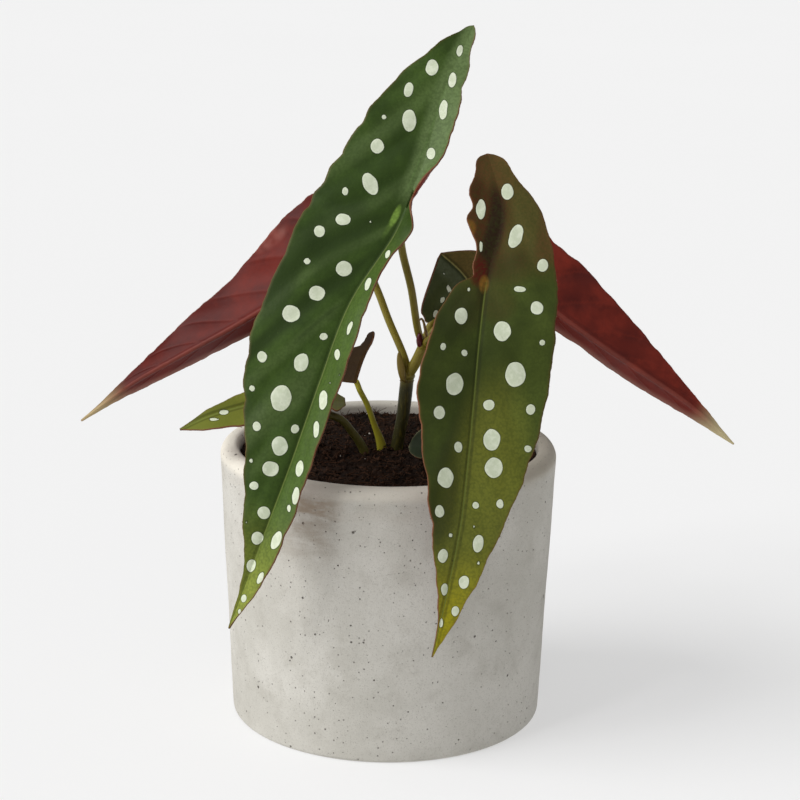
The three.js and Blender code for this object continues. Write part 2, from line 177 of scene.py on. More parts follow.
# %% A material under construction
class Look:
    def __init__(self, name, specular=0.5):
        self.material = bpy.data.materials.new(name)
        self.material.use_nodes = True
        self.tree = self.material.node_tree
        self.shader = self.tree.nodes["Principled BSDF"]
        self.shader.inputs["Specular IOR Level"].default_value = specular

    def feed(self, socket, value):
        if isinstance(value, Term):
            self.tree.links.new(value.socket, socket)
        else:
            socket.default_value = value

    def node(self, kind, settings, inputs, out=0):
        made = self.tree.nodes.new("ShaderNode" + kind)
        for key, value in settings.items():
            setattr(made, key, value)
        for key, value in inputs.items():
            if isinstance(key, int):
                self.feed(made.inputs[key], value)
            else:
                self.feed(next(s for s in made.inputs if s.enabled and s.name == key), value)
        outputs = [s for s in made.outputs if s.enabled]
        return Term(self, outputs[out])

    def measure(self, name):
        """A number that the mesh carries at each of its points."""
        return self.node("Attribute", {"attribute_name": name}, {}, 2)

    def measures(self, *names):
        return [self.measure(name) for name in names]

    def place(self):
        return self.node("TexCoord", {}, {}, 3)

    def axis(self, index):
        """How far, in metres, a point lies along x, y or z, which are 0, 1 and 2."""
        return self.node("SeparateXYZ", {}, {0: self.place()}, index)

    def stretched(self, scale):
        return self.node("Mapping", {}, {"Vector": self.place(), "Scale": scale})

    def grain(self, scale, detail=2, roughness=0.5, at=None):
        """Cloudy noise around 0.5; scale is in clouds per metre."""
        clouds = {"Scale": scale, "Detail": detail, "Roughness": roughness}
        return self.node("TexNoise", {}, {"Vector": at or self.place(), **clouds})

    def mix(self, factor, first, second):
        """Two colours mixed; each is a Term, or red, green and blue as on a screen."""
        first, second = (c if isinstance(c, Term) else colour(c) for c in (first, second))
        return self.node("Mix", {"data_type": "RGBA"}, {"Factor": factor, "A": first, "B": second})

    def coats(self, base, *coats):
        """Colours laid over a base in turn; each coat is its share, 0 to 1, and its colour."""
        for share, tone in coats:
            base = self.mix(share, base, tone)
        return base

    def finish(self, base, roughness, height=None, depth=0.0002):
        self.feed(self.shader.inputs["Base Color"], base)
        self.feed(self.shader.inputs["Roughness"], roughness)
        if height is not None:
            bump = self.node("Bump", {}, {"Distance": depth, "Strength": 1.0, "Height": height})
            self.feed(self.shader.inputs["Normal"], bump)
        return self.material


# %% [markdown]
# ## Meshes
#
# Every piece is a mesh from a list of points and faces. Numbers that a material needs, such as how
# far a point is from the leaf's margin, are stored on the points under a name.


# %% Making a mesh piece
def make_piece(name, points, faces, materials, face_materials=None, measures=None):
    mesh = bpy.data.meshes.new(name)
    corners = [list(map(int, face)) for face in faces]
    mesh.from_pydata((np.asarray(points) * MM).tolist(), [], corners)
    for material in materials:
        mesh.materials.append(material)
    if face_materials is not None:
        mesh.polygons.foreach_set("material_index", np.asarray(face_materials, np.int32))
    for key, values in (measures or {}).items():
        stored = mesh.attributes.new(key, "FLOAT", "POINT")
        stored.data.foreach_set("value", np.asarray(values, np.float32))
    mesh.polygons.foreach_set("use_smooth", np.ones(len(mesh.polygons), bool))
    mesh.update()
    piece = bpy.data.objects.new(name, mesh)
    scene.collection.objects.link(piece)
    return piece


def stand_for(piece, node):
    """The piece moves with the plant and is shown in place of a solid."""
    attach(piece, "root")
    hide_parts(node)
    print(f"{piece.name}: {len(piece.data.polygons)} faces")


# %% Faces of rings, and thin sheets closed by a rim
def ring_faces(rings, sides):
    """Four-sided faces between neighbouring rings of points."""
    faces = []
    for low in range(0, (rings - 1) * sides, sides):
        for j in range(sides):
            k, high = (j + 1) % sides, low + sides
            faces.append((low + j, low + k, high + k, high + j))
    return faces


def closed_sheet(upper, lower):
    """A thin solid from two grids of points, and each face's kind: 0 above, 1 below, 2 the rim."""
    rows, columns = upper.shape[:2]
    count = rows * columns
    index = np.arange(count).reshape(rows, columns)
    a, b, c, d = index[:-1, :-1], index[1:, :-1], index[1:, 1:], index[:-1, 1:]
    top = np.stack([a, b, c, d], -1).reshape(-1, 4)
    bottom = np.stack([a, d, c, b], -1).reshape(-1, 4) + count
    edge = np.concatenate([index[:, 0], index[-1, 1:], index[-2::-1, -1], index[0, -2:0:-1]])
    after = np.roll(edge, -1)
    rim = np.stack([edge, edge + count, after + count, after], 1)
    kinds = np.repeat([0, 1, 2], [len(top), len(bottom), len(rim)])
    points = np.concatenate([upper.reshape(-1, 3), lower.reshape(-1, 3)])
    return points, np.concatenate([top, bottom, rim]), kinds


# %% [markdown]
# ## The pot
#
# The real pot is cast from concrete in a mould: a cup 135 mm across and 112 mm high, with a wall
# about 7 mm thick, slightly narrower at its foot. Its profile is turned about the axis. Casting
# leaves two marks that make it concrete and not plastic: small air holes, scattered and of all
# sizes, and cloudy patches where the cement dried unevenly.

# %% The pot's profile
pot_height = 112.0
top_radius, base_radius = 67.5, 63.0
wall, floor_thickness = 7.5, 9.0
outer_round, inner_round, foot_round, floor_round = 4.6, 2.4, 1.6, 4.0


def wall_radius(height):
    return base_radius + (top_radius - base_radius) * height / pot_height


def corner(radius, height, size, start, end, steps):
    angles = np.radians(np.linspace(start, end, steps))
    return np.stack([radius + size * np.cos(angles), height + size * np.sin(angles)], 1)


floor_radius = wall_radius(floor_thickness) - wall
rim_inside = top_radius - wall
bare_profile = np.concatenate([
    [[0, 0]],
    corner(base_radius - foot_round, foot_round, foot_round, -90, 0, 7),
    corner(top_radius - outer_round, pot_height - outer_round, outer_round, 0, 90, 12),
    corner(rim_inside + inner_round, pot_height - inner_round, inner_round, 90, 180, 9),
    corner(floor_radius - floor_round, floor_thickness + floor_round, floor_round, 0, -90, 6),
    [[0, floor_thickness]],
])


def refined(profile, spacing):
    """The same outline with points added wherever two are further apart than the spacing."""
    points = [profile[0]]
    for start, end in zip(profile[:-1], profile[1:]):
        count = max(1, math.ceil(np.linalg.norm(end - start) / spacing))
        points += [start + (end - start) * k / count for k in range(1, count + 1)]
    return np.array(points)


pot_profile = refined(bare_profile, 2.5)
print(len(pot_profile), "points on the pot's profile")


# %% Turning a profile about the axis
def turned(profile, sides):
    angles = 2 * np.pi * np.arange(sides) / sides
    rings = profile[1:-1]
    points = np.stack([
        rings[:, None, 0] * np.cos(angles),
        rings[:, None, 0] * np.sin(angles),
        np.repeat(rings[:, 1:2], sides, 1),
    ], -1).reshape(-1, 3)
    points = np.concatenate([points, [[0, 0, profile[0][1]], [0, 0, profile[-1][1]]]])
    start, end = len(points) - 2, len(points) - 1
    last = (len(rings) - 1) * sides
    faces = ring_faces(len(rings), sides)
    for j in range(sides):
        k = (j + 1) % sides
        faces += [(start, k, j), (end, last + j, last + k)]
    return points, faces


# %% Hand-cast unevenness, well under a millimetre
pot_sides = 224
broad_swell, fine_swell = 0.22, 0.07
pot_points, pot_faces = turned(pot_profile, pot_sides)
unevenness = np.array([
    broad_swell * noise.noise(Vector(p) * 0.035) + fine_swell * noise.noise(Vector(p) * 0.14)
    for p in pot_points
])
from_axis = np.hypot(pot_points[:, 0], pot_points[:, 1])
on_outside = (from_axis > 20) & (pot_points[:, 2] > 1)
pot_points[on_outside, :2] *= (1 + unevenness[on_outside] / from_axis[on_outside])[:, None]
print("the wall wanders by up to", round(float(np.abs(unevenness).max()), 2), "mm")

# %% [markdown]
# The air holes are cells of a Voronoi pattern: each cell has one hole, most of them tiny and a few
# over a millimetre across, since their size is the cell's random number to a high power.


# %% Air holes
smallest_hole = 0.00005


def air_holes(look, spacing, largest, power, seed_shift):
    """How deep a point lies in an air hole, 0 to 1; largest is a radius in metres."""
    where = look.node("VectorMath", {"operation": "ADD"}, {0: look.place(), 1: (seed_shift,) * 3})
    holes = {"Vector": where, "Scale": 1 / spacing}
    away = look.node("TexVoronoi", {}, holes, 0) * spacing
    random = look.node("TexVoronoi", {}, holes, 1)
    chance = look.node("SeparateColor", {}, {0: random}, 0)
    radius = chance.math("POWER", power) * largest
    return away.math("DIVIDE", radius + smallest_hole).fall(0.55, 1.0)


# %% Concrete
concrete = Look("cast_concrete", specular=0.3)
clouds = concrete.grain(24, 4, 0.6)
blotches = concrete.grain(75, 5, 0.65)
sand = concrete.grain(900, 3, 0.7)
speckle = concrete.grain(2600, 2, 0.6)
large_holes = air_holes(concrete, 0.011, 0.001, 8, 0.3)
small_holes = air_holes(concrete, 0.0047, 0.00068, 2.6, 1.7)
pinholes = air_holes(concrete, 0.0019, 0.00034, 1.8, 2.9)
holes_depth = large_holes.math("MAXIMUM", small_holes).math("MAXIMUM", pinholes * 0.75)
sideways, forwards, height_up = (concrete.axis(index) for index in range(3))
rim_band = height_up.rise(0.1055, 0.1095)
pale, middle, dark = (203, 200, 192), (188, 185, 176), (168, 164, 154)
paste = concrete.coats(
    middle,
    (clouds.rise(0.35, 0.65), pale),
    (blotches.rise(0.5, 0.75) * 0.5, dark),
    (sand.rise(0.5, 0.75) * 0.42, dark),
    (speckle.rise(0.58, 0.72) * 0.6, (128, 124, 115)),
    # Painted light on the rim's top: lighter and warmer, most of all at the left;
    (rim_band * 0.5, (218, 211, 196)),
    (rim_band * sideways.fall(-0.052, -0.035) * 0.5, (240, 234, 220)),
    # painted shadow of the right front leaf darkens the rim at the right.
    (rim_band * sideways.rise(0.04, 0.056) * 0.5, (132, 122, 104)),
    # Painted shade: the air holes are darkened as shade falls into them.
    (holes_depth * 0.85, (78, 72, 63)),
)
print("concrete: three sizes of air hole")

# %% [markdown]
# Water that ran over the rim has left brownish stains below it, most of them at the front left,
# where drops fall from the left leaf.

# %% Stains, and a painted shadow of the left leaf
stain_shape = concrete.grain(1.0, 4, 0.65, at=concrete.stretched((60, 60, 170)))
rim_stain_and_shadow = (height_up - 0.1035).size().fall(0.002, 0.006) * stain_shape.rise(0.38, 0.6)
stain_and_shadow_band = (height_up - 0.094).size().fall(0.004, 0.018) * stain_shape.rise(0.3, 0.65)
# The left front leaf's painted shadow: a soft strip at the front left of the wall.
left_leaf_shadow = (sideways + 0.030).size().fall(0.004, 0.016) * forwards.fall(-0.03, -0.01)
# Stain along the rim, with the left leaf's painted shadow mixed in under it.
paste = concrete.coats(
    paste,
    (rim_stain_and_shadow * (left_leaf_shadow * 0.5 + 0.08), (146, 124, 98)),
    (stain_and_shadow_band * left_leaf_shadow * 0.55, (134, 120, 102)),
)
relief = sand * 0.35 + blotches * 0.5 - holes_depth * 3
concrete.finish(paste, 0.78 + sand * 0.14, relief, 0.00024)

pot = make_piece("pot_cast", pot_points, pot_faces, [concrete.material])
stand_for(pot, "pot")

# %% [markdown]
# ## The leaves
#
# A leaf here is one surface along a curved spine. The spine runs from the tip of the leaf's upper
# lobe through the point where its stalk joins, and on along the midrib to the leaf's tip. The two
# halves have their own widths at even steps along it, each half lifts from the midrib by an angle
# and may curl towards its margin, and a narrow bay parts the lobes at the base. Both margins wave,
# and the blade is pleated between its side veins, as the real one is.
#
# The numbers are those of the solid leaves, in millimetres and degrees. `across` points to the
# leaf's right, seen on its upper side with the tip down.

# %% Shapes of the two front leaves
leaves = {}
leaves["leaf_front_left"] = {
    "spine": [
        [31, 8, 277], [20, -6, 254], [12.5, -19, 229], [2.5, -31, 204], [-15, -44, 178],
        [-26, -56.5, 150], [-36, -66.5, 122], [-47, -75, 93], [-58.5, -81, 62],
    ],
    "across": [[1, -0.1, 0]],
    "left": [2.2, 13.4, 23.5, 30, 33.5, 35, 31, 31, 26.5, 18.5, 11.5, 3, 0.4],
    "right": [
        1.4, 3.6, 6.2, 7.4, 8.8, 8.6, 9.4, 8.4, 7, 9.5, 7, 9.3, 11.3, 12.4, 13, 12.4, 11.5, 11,
        11, 11, 11, 10, 8, 4.5, 0.4,
    ],
    "lift": [[8, 10, 12, 10], [6, 10, 18, 50, 52, 50, 45, 40, 35]],
    "curl": [[0, -10, -15, -10], [
        0, 0, 0, 5, 10, 25, 42, 80, 70, -10, -10, -12, -15, -15, -15, -15, -15, -15, -12, -10,
        -10, -10, -10, -5, 0,
    ]],
    "bay": {"side": 1, "at": 0.322, "reach": 0.015, "depth": 0.85},
    "blunt": 0.014,
    "scallop": {"depth": 0.9, "count": 15},
    "wave": {"height": 1, "count": 7, "shift": 0.4},
    "pleat": {"height": 0.7, "count": 11},
    "join": [0.35, 0],
}
leaves["leaf_front_right"] = {
    "spine": [
        [36, -24, 232], [41, -37, 213], [36, -50, 192], [33, -62, 171], [31, -71, 149],
        [29, -79, 127], [26.5, -85, 104], [22, -89.5, 80], [17, -92, 56],
    ],
    "across": [[1, 0.1, 0]],
    "left": [
        5.8, 7.9, 12.3, 11.5, 12.9, 7.4, 6.8, 12.4, 16.4, 20.3, 22, 24.5, 25, 23.5, 21.7, 20, 17,
        15.3, 12.8, 10.5, 7.3, 4.2, 1.9, 0.6, 0.4,
    ],
    "right": [4.2, 10.4, 20.5, 27, 28, 28.5, 27, 24.5, 20.5, 15.5, 11, 6, 0.4],
    "lift": [[10, 14, 30, 34, 30, 20], [5, 8, 8, 10, 12, 12]],
    "curl": [[0, -10, -15, -10], [-10, -18, -20, -10]],
    "bay": {"side": -1, "at": 0.266, "reach": 0.014, "depth": 0.3},
    "blunt": 0.022,
    "scallop": {"depth": 0.6, "count": 11},
    "wave": {"height": 0.9, "count": 6, "shift": 1.1},
    "pleat": {"height": 0.6, "count": 9},
    "join": [0.26, 0],
}

# %% Shapes of the two back leaves, which show their undersides
leaves["leaf_back_left"] = {
    "spine": [
        [-4, 4, 211], [-15, 10, 189], [-38, 15.5, 171], [-63, 20.5, 154], [-84, 25, 141],
        [-106, 30, 127], [-128.5, 34, 109.5],
    ],
    "across": [[-0.1, 0.15, 1]],
    "left": [0.4, 9, 13, 15, 13, 11, 10, 9, 7, 3.5, 0.4],
    "right": [8, 28, 31.5, 29.5, 23.5, 18, 15, 10.5, 6, 2.5, 0.4],
    "lift": [[40, 55, 60, 45], [15, 25, 25, 15]],
    "curl": [[0], [-10]],
    "bay": {"side": -1, "at": 0.16, "reach": 0.03, "depth": 0.6},
    "wave": {"height": 0.8, "count": 5, "shift": 0.2},
    "pleat": {"height": 0.6, "count": 8},
    "join": [0.2, 0],
}
leaves["leaf_back_right"] = {
    "spine": [
        [40, -6, 206], [46, 1, 184], [62, 7, 168], [82, 14, 152], [103, 20, 137],
        [124, 25, 122], [144, 30, 104],
    ],
    "across": [[-0.1, -0.15, -1]],
    "left": [2, 17, 24.5, 25, 25.5, 22, 17, 12, 6.5, 3, 0.4],
    "right": [0.4, 7, 8, 9, 9, 9, 10, 10, 8, 4.5, 0.4],
    "lift": [[15, 25, 25, 15], [40, 55, 60, 45]],
    "curl": [[-10], [0]],
    "bay": {"side": 1, "at": 0.16, "reach": 0.03, "depth": 0.6},
    "wave": {"height": 0.8, "count": 5, "shift": 1.3},
    "pleat": {"height": 0.6, "count": 8},
    "join": [0.21, 0],
}

# %% Shapes of the four small leaves
leaves["leaf_middle"] = {
    "spine": [[40.2, -4, 162.5], [34.3, -8.5, 173.9], [27.5, -13, 184.1], [19.2, -17.5, 192.4]],
    "across": [[-0.55, -0.42, -0.73]],
    "left": [1.5, 10, 14, 15, 13, 8.8, 0.4],
    "right": [1.5, 4.5, 8, 11, 13, 14, 15, 18, 24, 27, 25.5, 22, 3.2],
    "lift": [[40], [5]],
    "curl": [[0], [10]],
    "bay": {"side": -1, "at": 0.33, "reach": 0.06, "depth": 0.7},
    "wave": {"height": 0.5, "count": 3, "shift": 0.8},
    "pleat": {"height": 0.4, "count": 5},
    "join": [0.34, 0],
}
leaves["leaf_low_left"] = {
    "spine": [
        [-17.5, -6, 129.5], [-25.5, -9, 131], [-35, -13, 132.5], [-46.5, -16, 133], [-57, -19, 131],
        [-70, -22, 127.5], [-81.5, -24, 122.5],
    ],
    "across": [[0, -0.8, -0.6]],
    "left": [2, 6, 8, 8, 7, 6, 4.5, 2.5, 0.4],
    "right": [2, 7, 11, 13, 13, 12, 10.5, 7, 0.4],
    "lift": [[10, 20, 15], [0, 0, 5]],
    "curl": [[0], [0, 15, 40, 15, 0]],
    "bay": {"side": 1, "at": 0.14, "reach": 0.04, "depth": 0.5},
    "wave": {"height": 0.5, "count": 4, "shift": 0.5},
    "pleat": {"height": 0.4, "count": 6},
    "join": [0.13, 0.3],
}
leaves["leaf_young"] = {
    "spine": [
        [-6.6, 9, 155.1], [-7.5, 7, 151.6], [-9.7, 4.5, 147.7], [-11.3, 2, 144.1],
        [-12.5, -0.5, 140.6], [-13.6, -3, 136.7],
    ],
    "across": [[1, -0.55, 0.1]],
    "left": [2.4, 2.8, 3.4, 3.6, 4.6, 8, 9.5, 10, 9.8, 9.3, 8.8, 8.3, 7.6],
    "right": [1.2, 1, 1, 1, 0.9, 0.8, 0.6],
    "lift": [[0], [20]],
    "curl": [[0, 10, 15], [0]],
    "bay": {"side": -1, "at": 0.34, "reach": 0.03, "depth": 0.15},
    "blunt": 0.1,
    "wave": {"height": 0.3, "count": 2, "shift": 0.2},
    "pleat": {"height": 0.3, "count": 5},
    "join": [0.97, 0],
}
leaves["leaf_small_right"] = {
    "spine": [
        [8, -22, 116], [14.5, -24, 117], [22.5, -26, 118.5], [31, -28, 119], [38.5, -30, 116],
    ],
    "across": [[0, 0.7, 0.7]],
    "left": [5, 6.5, 7, 7, 6, 3.5, 0.4],
    "right": [5, 7, 8, 8, 6.5, 4, 0.4],
    "lift": [[10], [10]],
    "curl": [[0], [0]],
    "bay": {"side": -1, "at": 0.3, "reach": 0.05, "depth": 0.3},
    "blunt": 0.2,
    "wave": {"height": 0.4, "count": 3, "shift": 0.9},
    "pleat": {"height": 0.3, "count": 4},
    "join": [0.35, 0],
}
print(len(leaves), "leaves")

# %% [markdown]
# Between two listed values the surface follows a smooth curve through all of them. The formulas
# below are those of the solid leaves, written for whole grids of points at once. A half narrower
# than 12 mm waves and scallops less. Two things are finer here: the pleats are lower, and their
# creases at the side veins are narrower than the round folds between them.

# %% Smooth values along a list
slope_step = 1e-3


def extended(listed):
    """The list with one more value at each end, carried on in a straight line."""
    return np.concatenate([[2 * listed[0] - listed[1]], listed, [2 * listed[-1] - listed[-2]]])


def cubic(here, after, leave, arrive, step):
    """Values on the way from here to after, given the slopes at both; step runs from 0 to 1."""
    bend = 3 * (after - here) - 2 * leave - arrive
    twist = 2 * (here - after) + leave + arrive
    return here + step * (leave + step * (bend + step * twist))


def along(listed, part):
    listed = np.asarray(listed, float)
    part = np.clip(np.atleast_1d(part).astype(float), 0, 1)
    if len(listed) == 1:
        return np.repeat(listed, len(part), axis=0)
    place = part * (len(listed) - 1)
    index = np.minimum(place.astype(int), len(listed) - 2)
    step = place - index
    if listed.ndim > 1:
        step = step[:, None]
    longer = extended(listed)
    before, here, after, beyond = (longer[index + k] for k in range(4))
    return cubic(here, after, (after - before) / 2, (beyond - here) / 2, step)


# %% The blade's middle surface
full_effect = 12
pleat_slant = 0.2
crispness, fine_pleats = 0.3, 0.42


def unit(vectors):
    return vectors / np.maximum(np.linalg.norm(vectors, axis=-1, keepdims=True), 1e-9)


def half_widths(leaf, u, side):
    width = along(leaf["left"] if side < 0 else leaf["right"], u)
    fade = np.minimum(width / full_effect, 1)
    scallop = leaf.get("scallop", {"depth": 0, "count": 1})
    width = width + fade * scallop["depth"] * (
        np.abs(np.sin(np.pi * (scallop["count"] * u + 0.25 * side))) - 0.6)
    blunt = leaf.get("blunt", 0)
    if blunt:
        share = np.clip(1 - u / blunt, 0, 1)
        width = width * np.maximum(np.sqrt(1 - share ** 2), 0.08)
    bay = leaf["bay"]
    if bay["side"] != side:
        return width
    return width * (1 - bay["depth"] * np.exp(-(((u - bay["at"]) / bay["reach"]) ** 2)))


def crease_phase(leaf, u, out):
    pleat = leaf["pleat"]
    return 2 * np.pi * pleat["count"] * (u[:, None] - pleat_slant * out)


def blade_half(leaf, u, out, side, crisp=True):
    """Points of one half; u runs down the spine, out from the midrib, 0, to the margin, 1."""
    centre = along(leaf["spine"], u)
    down = unit(along(leaf["spine"], u + slope_step) - along(leaf["spine"], u - slope_step))
    across = along(leaf["across"], u)
    across = unit(across - (across * down).sum(1, keepdims=True) * down)
    up = np.cross(down, across)
    which = 0 if side < 0 else 1
    lift = np.radians(along(leaf["lift"][which], u))[:, None]
    curl = np.radians(along(leaf["curl"][which], u))[:, None]
    curl = np.where(np.abs(curl) < slope_step, slope_step, curl)
    width = half_widths(leaf, u, side)[:, None]
    reach = width * (np.sin(lift + curl * out) - np.sin(lift)) / curl
    rise = -width * (np.cos(lift + curl * out) - np.cos(lift)) / curl
    fade = np.minimum(width / full_effect, 1)
    wave, pleat = leaf["wave"], leaf["pleat"]
    rise = rise + fade * wave["height"] * out ** 2 * np.sin(
        2 * np.pi * wave["count"] * u[:, None] + wave["shift"] * side)
    phase = crease_phase(leaf, u, out)
    ripple = np.sin(phase)
    if crisp:
        creased = 1.8 * np.abs(np.sin(phase / 2 + np.pi / 4)) ** 0.8 - 0.9
        ripple = ripple + crispness * (creased - ripple)
    pleated = np.clip((width - 7) / 16, 0, 1) * fine_pleats if crisp else fade
    rise = rise + pleated * pleat["height"] * 4 * out * (1 - out) * ripple
    sideways = (side * reach)[..., None] * across[:, None]
    return centre[:, None] + sideways + rise[..., None] * up[:, None]


def blade(leaf, u, v):
    """A grid of points, and the upper side's direction at each; v runs from -1 to 1 across."""
    left, right = v[v < 0], v[v >= 0]
    points = np.concatenate([
        blade_half(leaf, u, -left[None, :], -1),
        blade_half(leaf, u, right[None, :], 1),
    ], 1)
    down = np.gradient(points, axis=0)
    over = np.gradient(points, axis=1)
    return points, unit(np.cross(down, over))


# %% [markdown]
# ### Spots
#
# The silvery spots are what the plant is known for. On the two front leaves each one is placed by
# where it shows in the picture: its middle, its width and height, and how many degrees it leans if
# it does. A point of the leaf is inside a spot when it shows inside that oval, so a spot on a
# slanted part of the leaf comes out long, as it really is there. The back leaves get theirs from a
# rule: scattered at random, and no two closer than a leaf would grow them.

# %% Spots of the left front leaf, in pixels of the picture
spots_front_left = [
    (459.8, 51.4, 6, 11, 10), (432, 68.2, 12, 16, 10), (452.7, 80.4, 8, 15, 8),
    (408.6, 90.2, 9, 14, 10), (409.3, 120.9, 14, 22), (443.6, 110, 8, 20, 5), (384, 117.5, 5, 5),
    (377, 146.4, 13, 15), (431.3, 154, 9, 11), (370.4, 184, 14, 23, -25), (345.2, 191.6, 6, 8),
    (342.9, 219.6, 15, 11), (319.3, 231.8, 11, 11), (370.9, 222, 3, 3), (307.2, 261.4, 7, 6),
    (343.8, 268.6, 16, 15), (317.2, 293.4, 16, 15), (291.3, 314, 18, 17), (323.5, 336.8, 8, 7),
    (368.6, 284.3, 5, 13, 20), (388, 254.6, 4, 8, 20), (350.3, 328.3, 4, 14, 20),
    (337.9, 354.9, 5, 11), (262.4, 357, 10, 11), (301.4, 362.7, 14, 19, 25), (252.1, 388.4, 6, 6),
    (281.2, 398.4, 20, 26, 12), (323.8, 400.2, 8, 19, 5), (340.2, 374.8, 2, 2), (331, 383.7, 2, 2),
    (256.7, 426.5, 8, 9), (295, 429.3, 8, 9), (316.6, 429.6, 6, 17, 5), (280, 446.2, 16, 19),
    (251.2, 460.6, 3.5, 4), (270.5, 468.9, 17, 15), (300.2, 468.9, 7, 16, 8), (254, 485.7, 9, 8),
    (296.2, 496, 6.5, 17, 8), (264, 512.5, 12, 12.5), (289.6, 508.7, 3.5, 7),
    (246.8, 522, 2.5, 2.5), (257.5, 538, 12, 13, 10), (277, 540.4, 9, 19, 25),
    (251.4, 565.8, 10, 12.5, 10), (261, 578, 4.5, 12, 25), (244.3, 598.5, 5, 7.5, 10),
    (240, 612, 3, 5),
]

# %% Spots of the right front leaf, in pixels of the picture
spots_front_right = [
    (507.5, 192.4, 11.5, 16), (480.6, 209.5, 9, 20), (516, 236.6, 13, 24, 20),
    (480.6, 247, 3.5, 10), (542.8, 265.7, 11, 12.5), (519.7, 289.4, 12, 6), (537, 308.2, 12, 13),
    (460.7, 316.2, 12, 16, 10), (468.5, 289.5, 3, 4), (556.9, 280.7, 2, 2), (502.2, 331.5, 17, 20),
    (442.4, 346.8, 6, 7), (464, 353, 6, 6), (542, 342.8, 6, 6), (454.2, 384, 17, 22, 5),
    (515.3, 374.4, 20, 25), (439, 412.7, 11, 13), (488.8, 405.2, 11, 11), (530.3, 409.6, 9, 11),
    (457.6, 447.2, 8, 11), (491.6, 440, 17, 21), (527.6, 448.6, 7, 7), (493.8, 467.8, 18, 20),
    (445.2, 477.8, 16, 20), (475.6, 505, 7, 7), (500, 503.8, 7, 9), (439, 511, 9, 12),
    (449.8, 535, 4, 4), (473.8, 526.8, 2.5, 2.5), (478, 543.6, 11, 17, 10),
    (442.6, 555.6, 9, 14, 5), (478.4, 562.8, 3.5, 3.5), (452.2, 560.3, 1.5, 1.5),
    (463.8, 582, 10, 13, 10), (444, 589.2, 7, 12, 5), (455.3, 611, 7, 10, 10),
    (441, 622.3, 4, 9, 5),
]

# %% Spots of the small low leaf and the dark leaf in the middle, in pixels of the picture
spots_low_left = [(224, 412.8, 10, 4.5), (214.7, 420, 9, 2.5)]
spots_middle = [
    (448.4, 289, 3.6, 8, -20), (442, 300, 4, 6, 15), (435, 314, 5, 8, 15),
    (443.4, 273.5, 1.6, 3.4, -30),
]
pixels_per_mm = 2.5
far_off = 50.0


def spot_depth_seen(points, spots):
    """Signed distance in mm to the nearest spot's edge, negative inside."""
    seen = picture(points)
    nearest = np.full(seen.shape[:-1], far_off)
    for x, y, width, height, *lean in spots:
        angle = math.radians(lean[0] if lean else 0)
        sideways, downward = seen[..., 0] - x, seen[..., 1] - y
        a = (sideways * math.cos(angle) + downward * math.sin(angle)) / (width / 2)
        b = (downward * math.cos(angle) - sideways * math.sin(angle)) / (height / 2)
        scaled = np.hypot(a, b)
        steepness = np.hypot(2 * a / width, 2 * b / height) / np.maximum(scaled, 0.3)
        distance = (scaled - 1) / np.maximum(steepness, 1 / max(width, height))
        nearest = np.minimum(nearest, distance / pixels_per_mm)
    return nearest


# %% Spots by the rule
spot_tries = 1500


def spot_depth_grown(flat, width, seed, spacing, largest):
    """The same distance for scattered spots; flat holds each point's mm along and across."""
    random = np.random.default_rng(seed)
    length = flat[:, 0, 0].max()
    nearest = np.full(flat.shape[:-1], far_off)
    kept = []
    for _ in range(spot_tries):
        down_leaf = random.uniform(0.04, 0.96) * length
        place = np.array([down_leaf, random.uniform(-1, 1) * np.max(width)])
        radius = largest * random.uniform(0.25, 1) ** 1.3
        row = np.searchsorted(flat[:, 0, 0], place[0])
        room = width[min(row, len(width) - 1), 0 if place[1] < 0 else 1] - abs(place[1])
        if room < radius + 0.8 or abs(place[1]) < radius + 1:
            continue
        if any(np.linalg.norm(place - other) < radius + size + spacing for other, size in kept):
            continue
        kept.append((place, radius))
        oval = (flat - place) * np.array([0.85, 1.1])
        nearest = np.minimum(nearest, np.linalg.norm(oval, axis=-1) - radius)
    return nearest


# %% [markdown]
# ### From the surface to a leaf
#
# The blade is 0.7 mm thick and closed all round, so it has an upper side, an underside and a rim.
# Underneath, the midrib and the side veins stand out as ridges, as on the real leaf. Each point
# also stores what the materials need: the distance to the nearest spot's edge, to the midrib, to
# the nearest side vein and to the margin, its place in the fold between two veins, how far down
# the spine it lies, and whether that is below the stalk's joint.

# %% Building one leaf
blade_thickness = 0.7
rib_height, rib_half_width = 1.1, 1.3
vein_height, vein_half_width = 0.22, 0.6
groove_depth, groove_half_width = 0.2, 0.9
ripple_depth, ripples_per_mm = 0.6, 0.2
tooth_depth, teeth_per_ripple = 0.16, 4.1
vein_lean = 0.75
joint_blend = 0.04


def ridges(measures, u):
    """How far the ribs stand out from the underside."""
    slimmer = 1 - 0.75 * u[:, None]
    rib = rib_height * slimmer * np.exp(-(measures["rib"] / (rib_half_width * slimmer + 0.3)) ** 2)
    inside = np.clip(measures["rim"] / 3, 0, 1)
    return (rib + vein_height * np.exp(-(measures["vein"] / vein_half_width) ** 2)) * inside


def spine_steps(leaf, u):
    """How many mm the spine runs from each u to the next."""
    return np.linalg.norm(np.diff(along(leaf["spine"], u), axis=0), axis=1)


def nibbled(points, v, u, leaf):
    """Small uneven teeth and ripples in the outer part of the blade, drawn in from the margin."""
    length = spine_steps(leaf, u).sum()
    middle_column = len(v) // 2
    made = points.copy()
    for side in (-1, 1):
        place = u * length * ripples_per_mm + 31.7 * side
        ripples, teeth = (
            np.array([0.5 + noise.noise(Vector((p * finer, level, side))) for p in place])
            for finer, level in ((1, 0.3), (teeth_per_ripple, 4.3)))
        drawn_in = ripple_depth * np.clip(ripples, 0, 1) + tooth_depth * np.clip(teeth, 0, 1)
        weight = np.clip(side * v, 0, 1) ** 8
        inward = unit(points[:, middle_column:middle_column + 1] - points)
        made += inward * (drawn_in[:, None] * weight)[..., None]
    return made


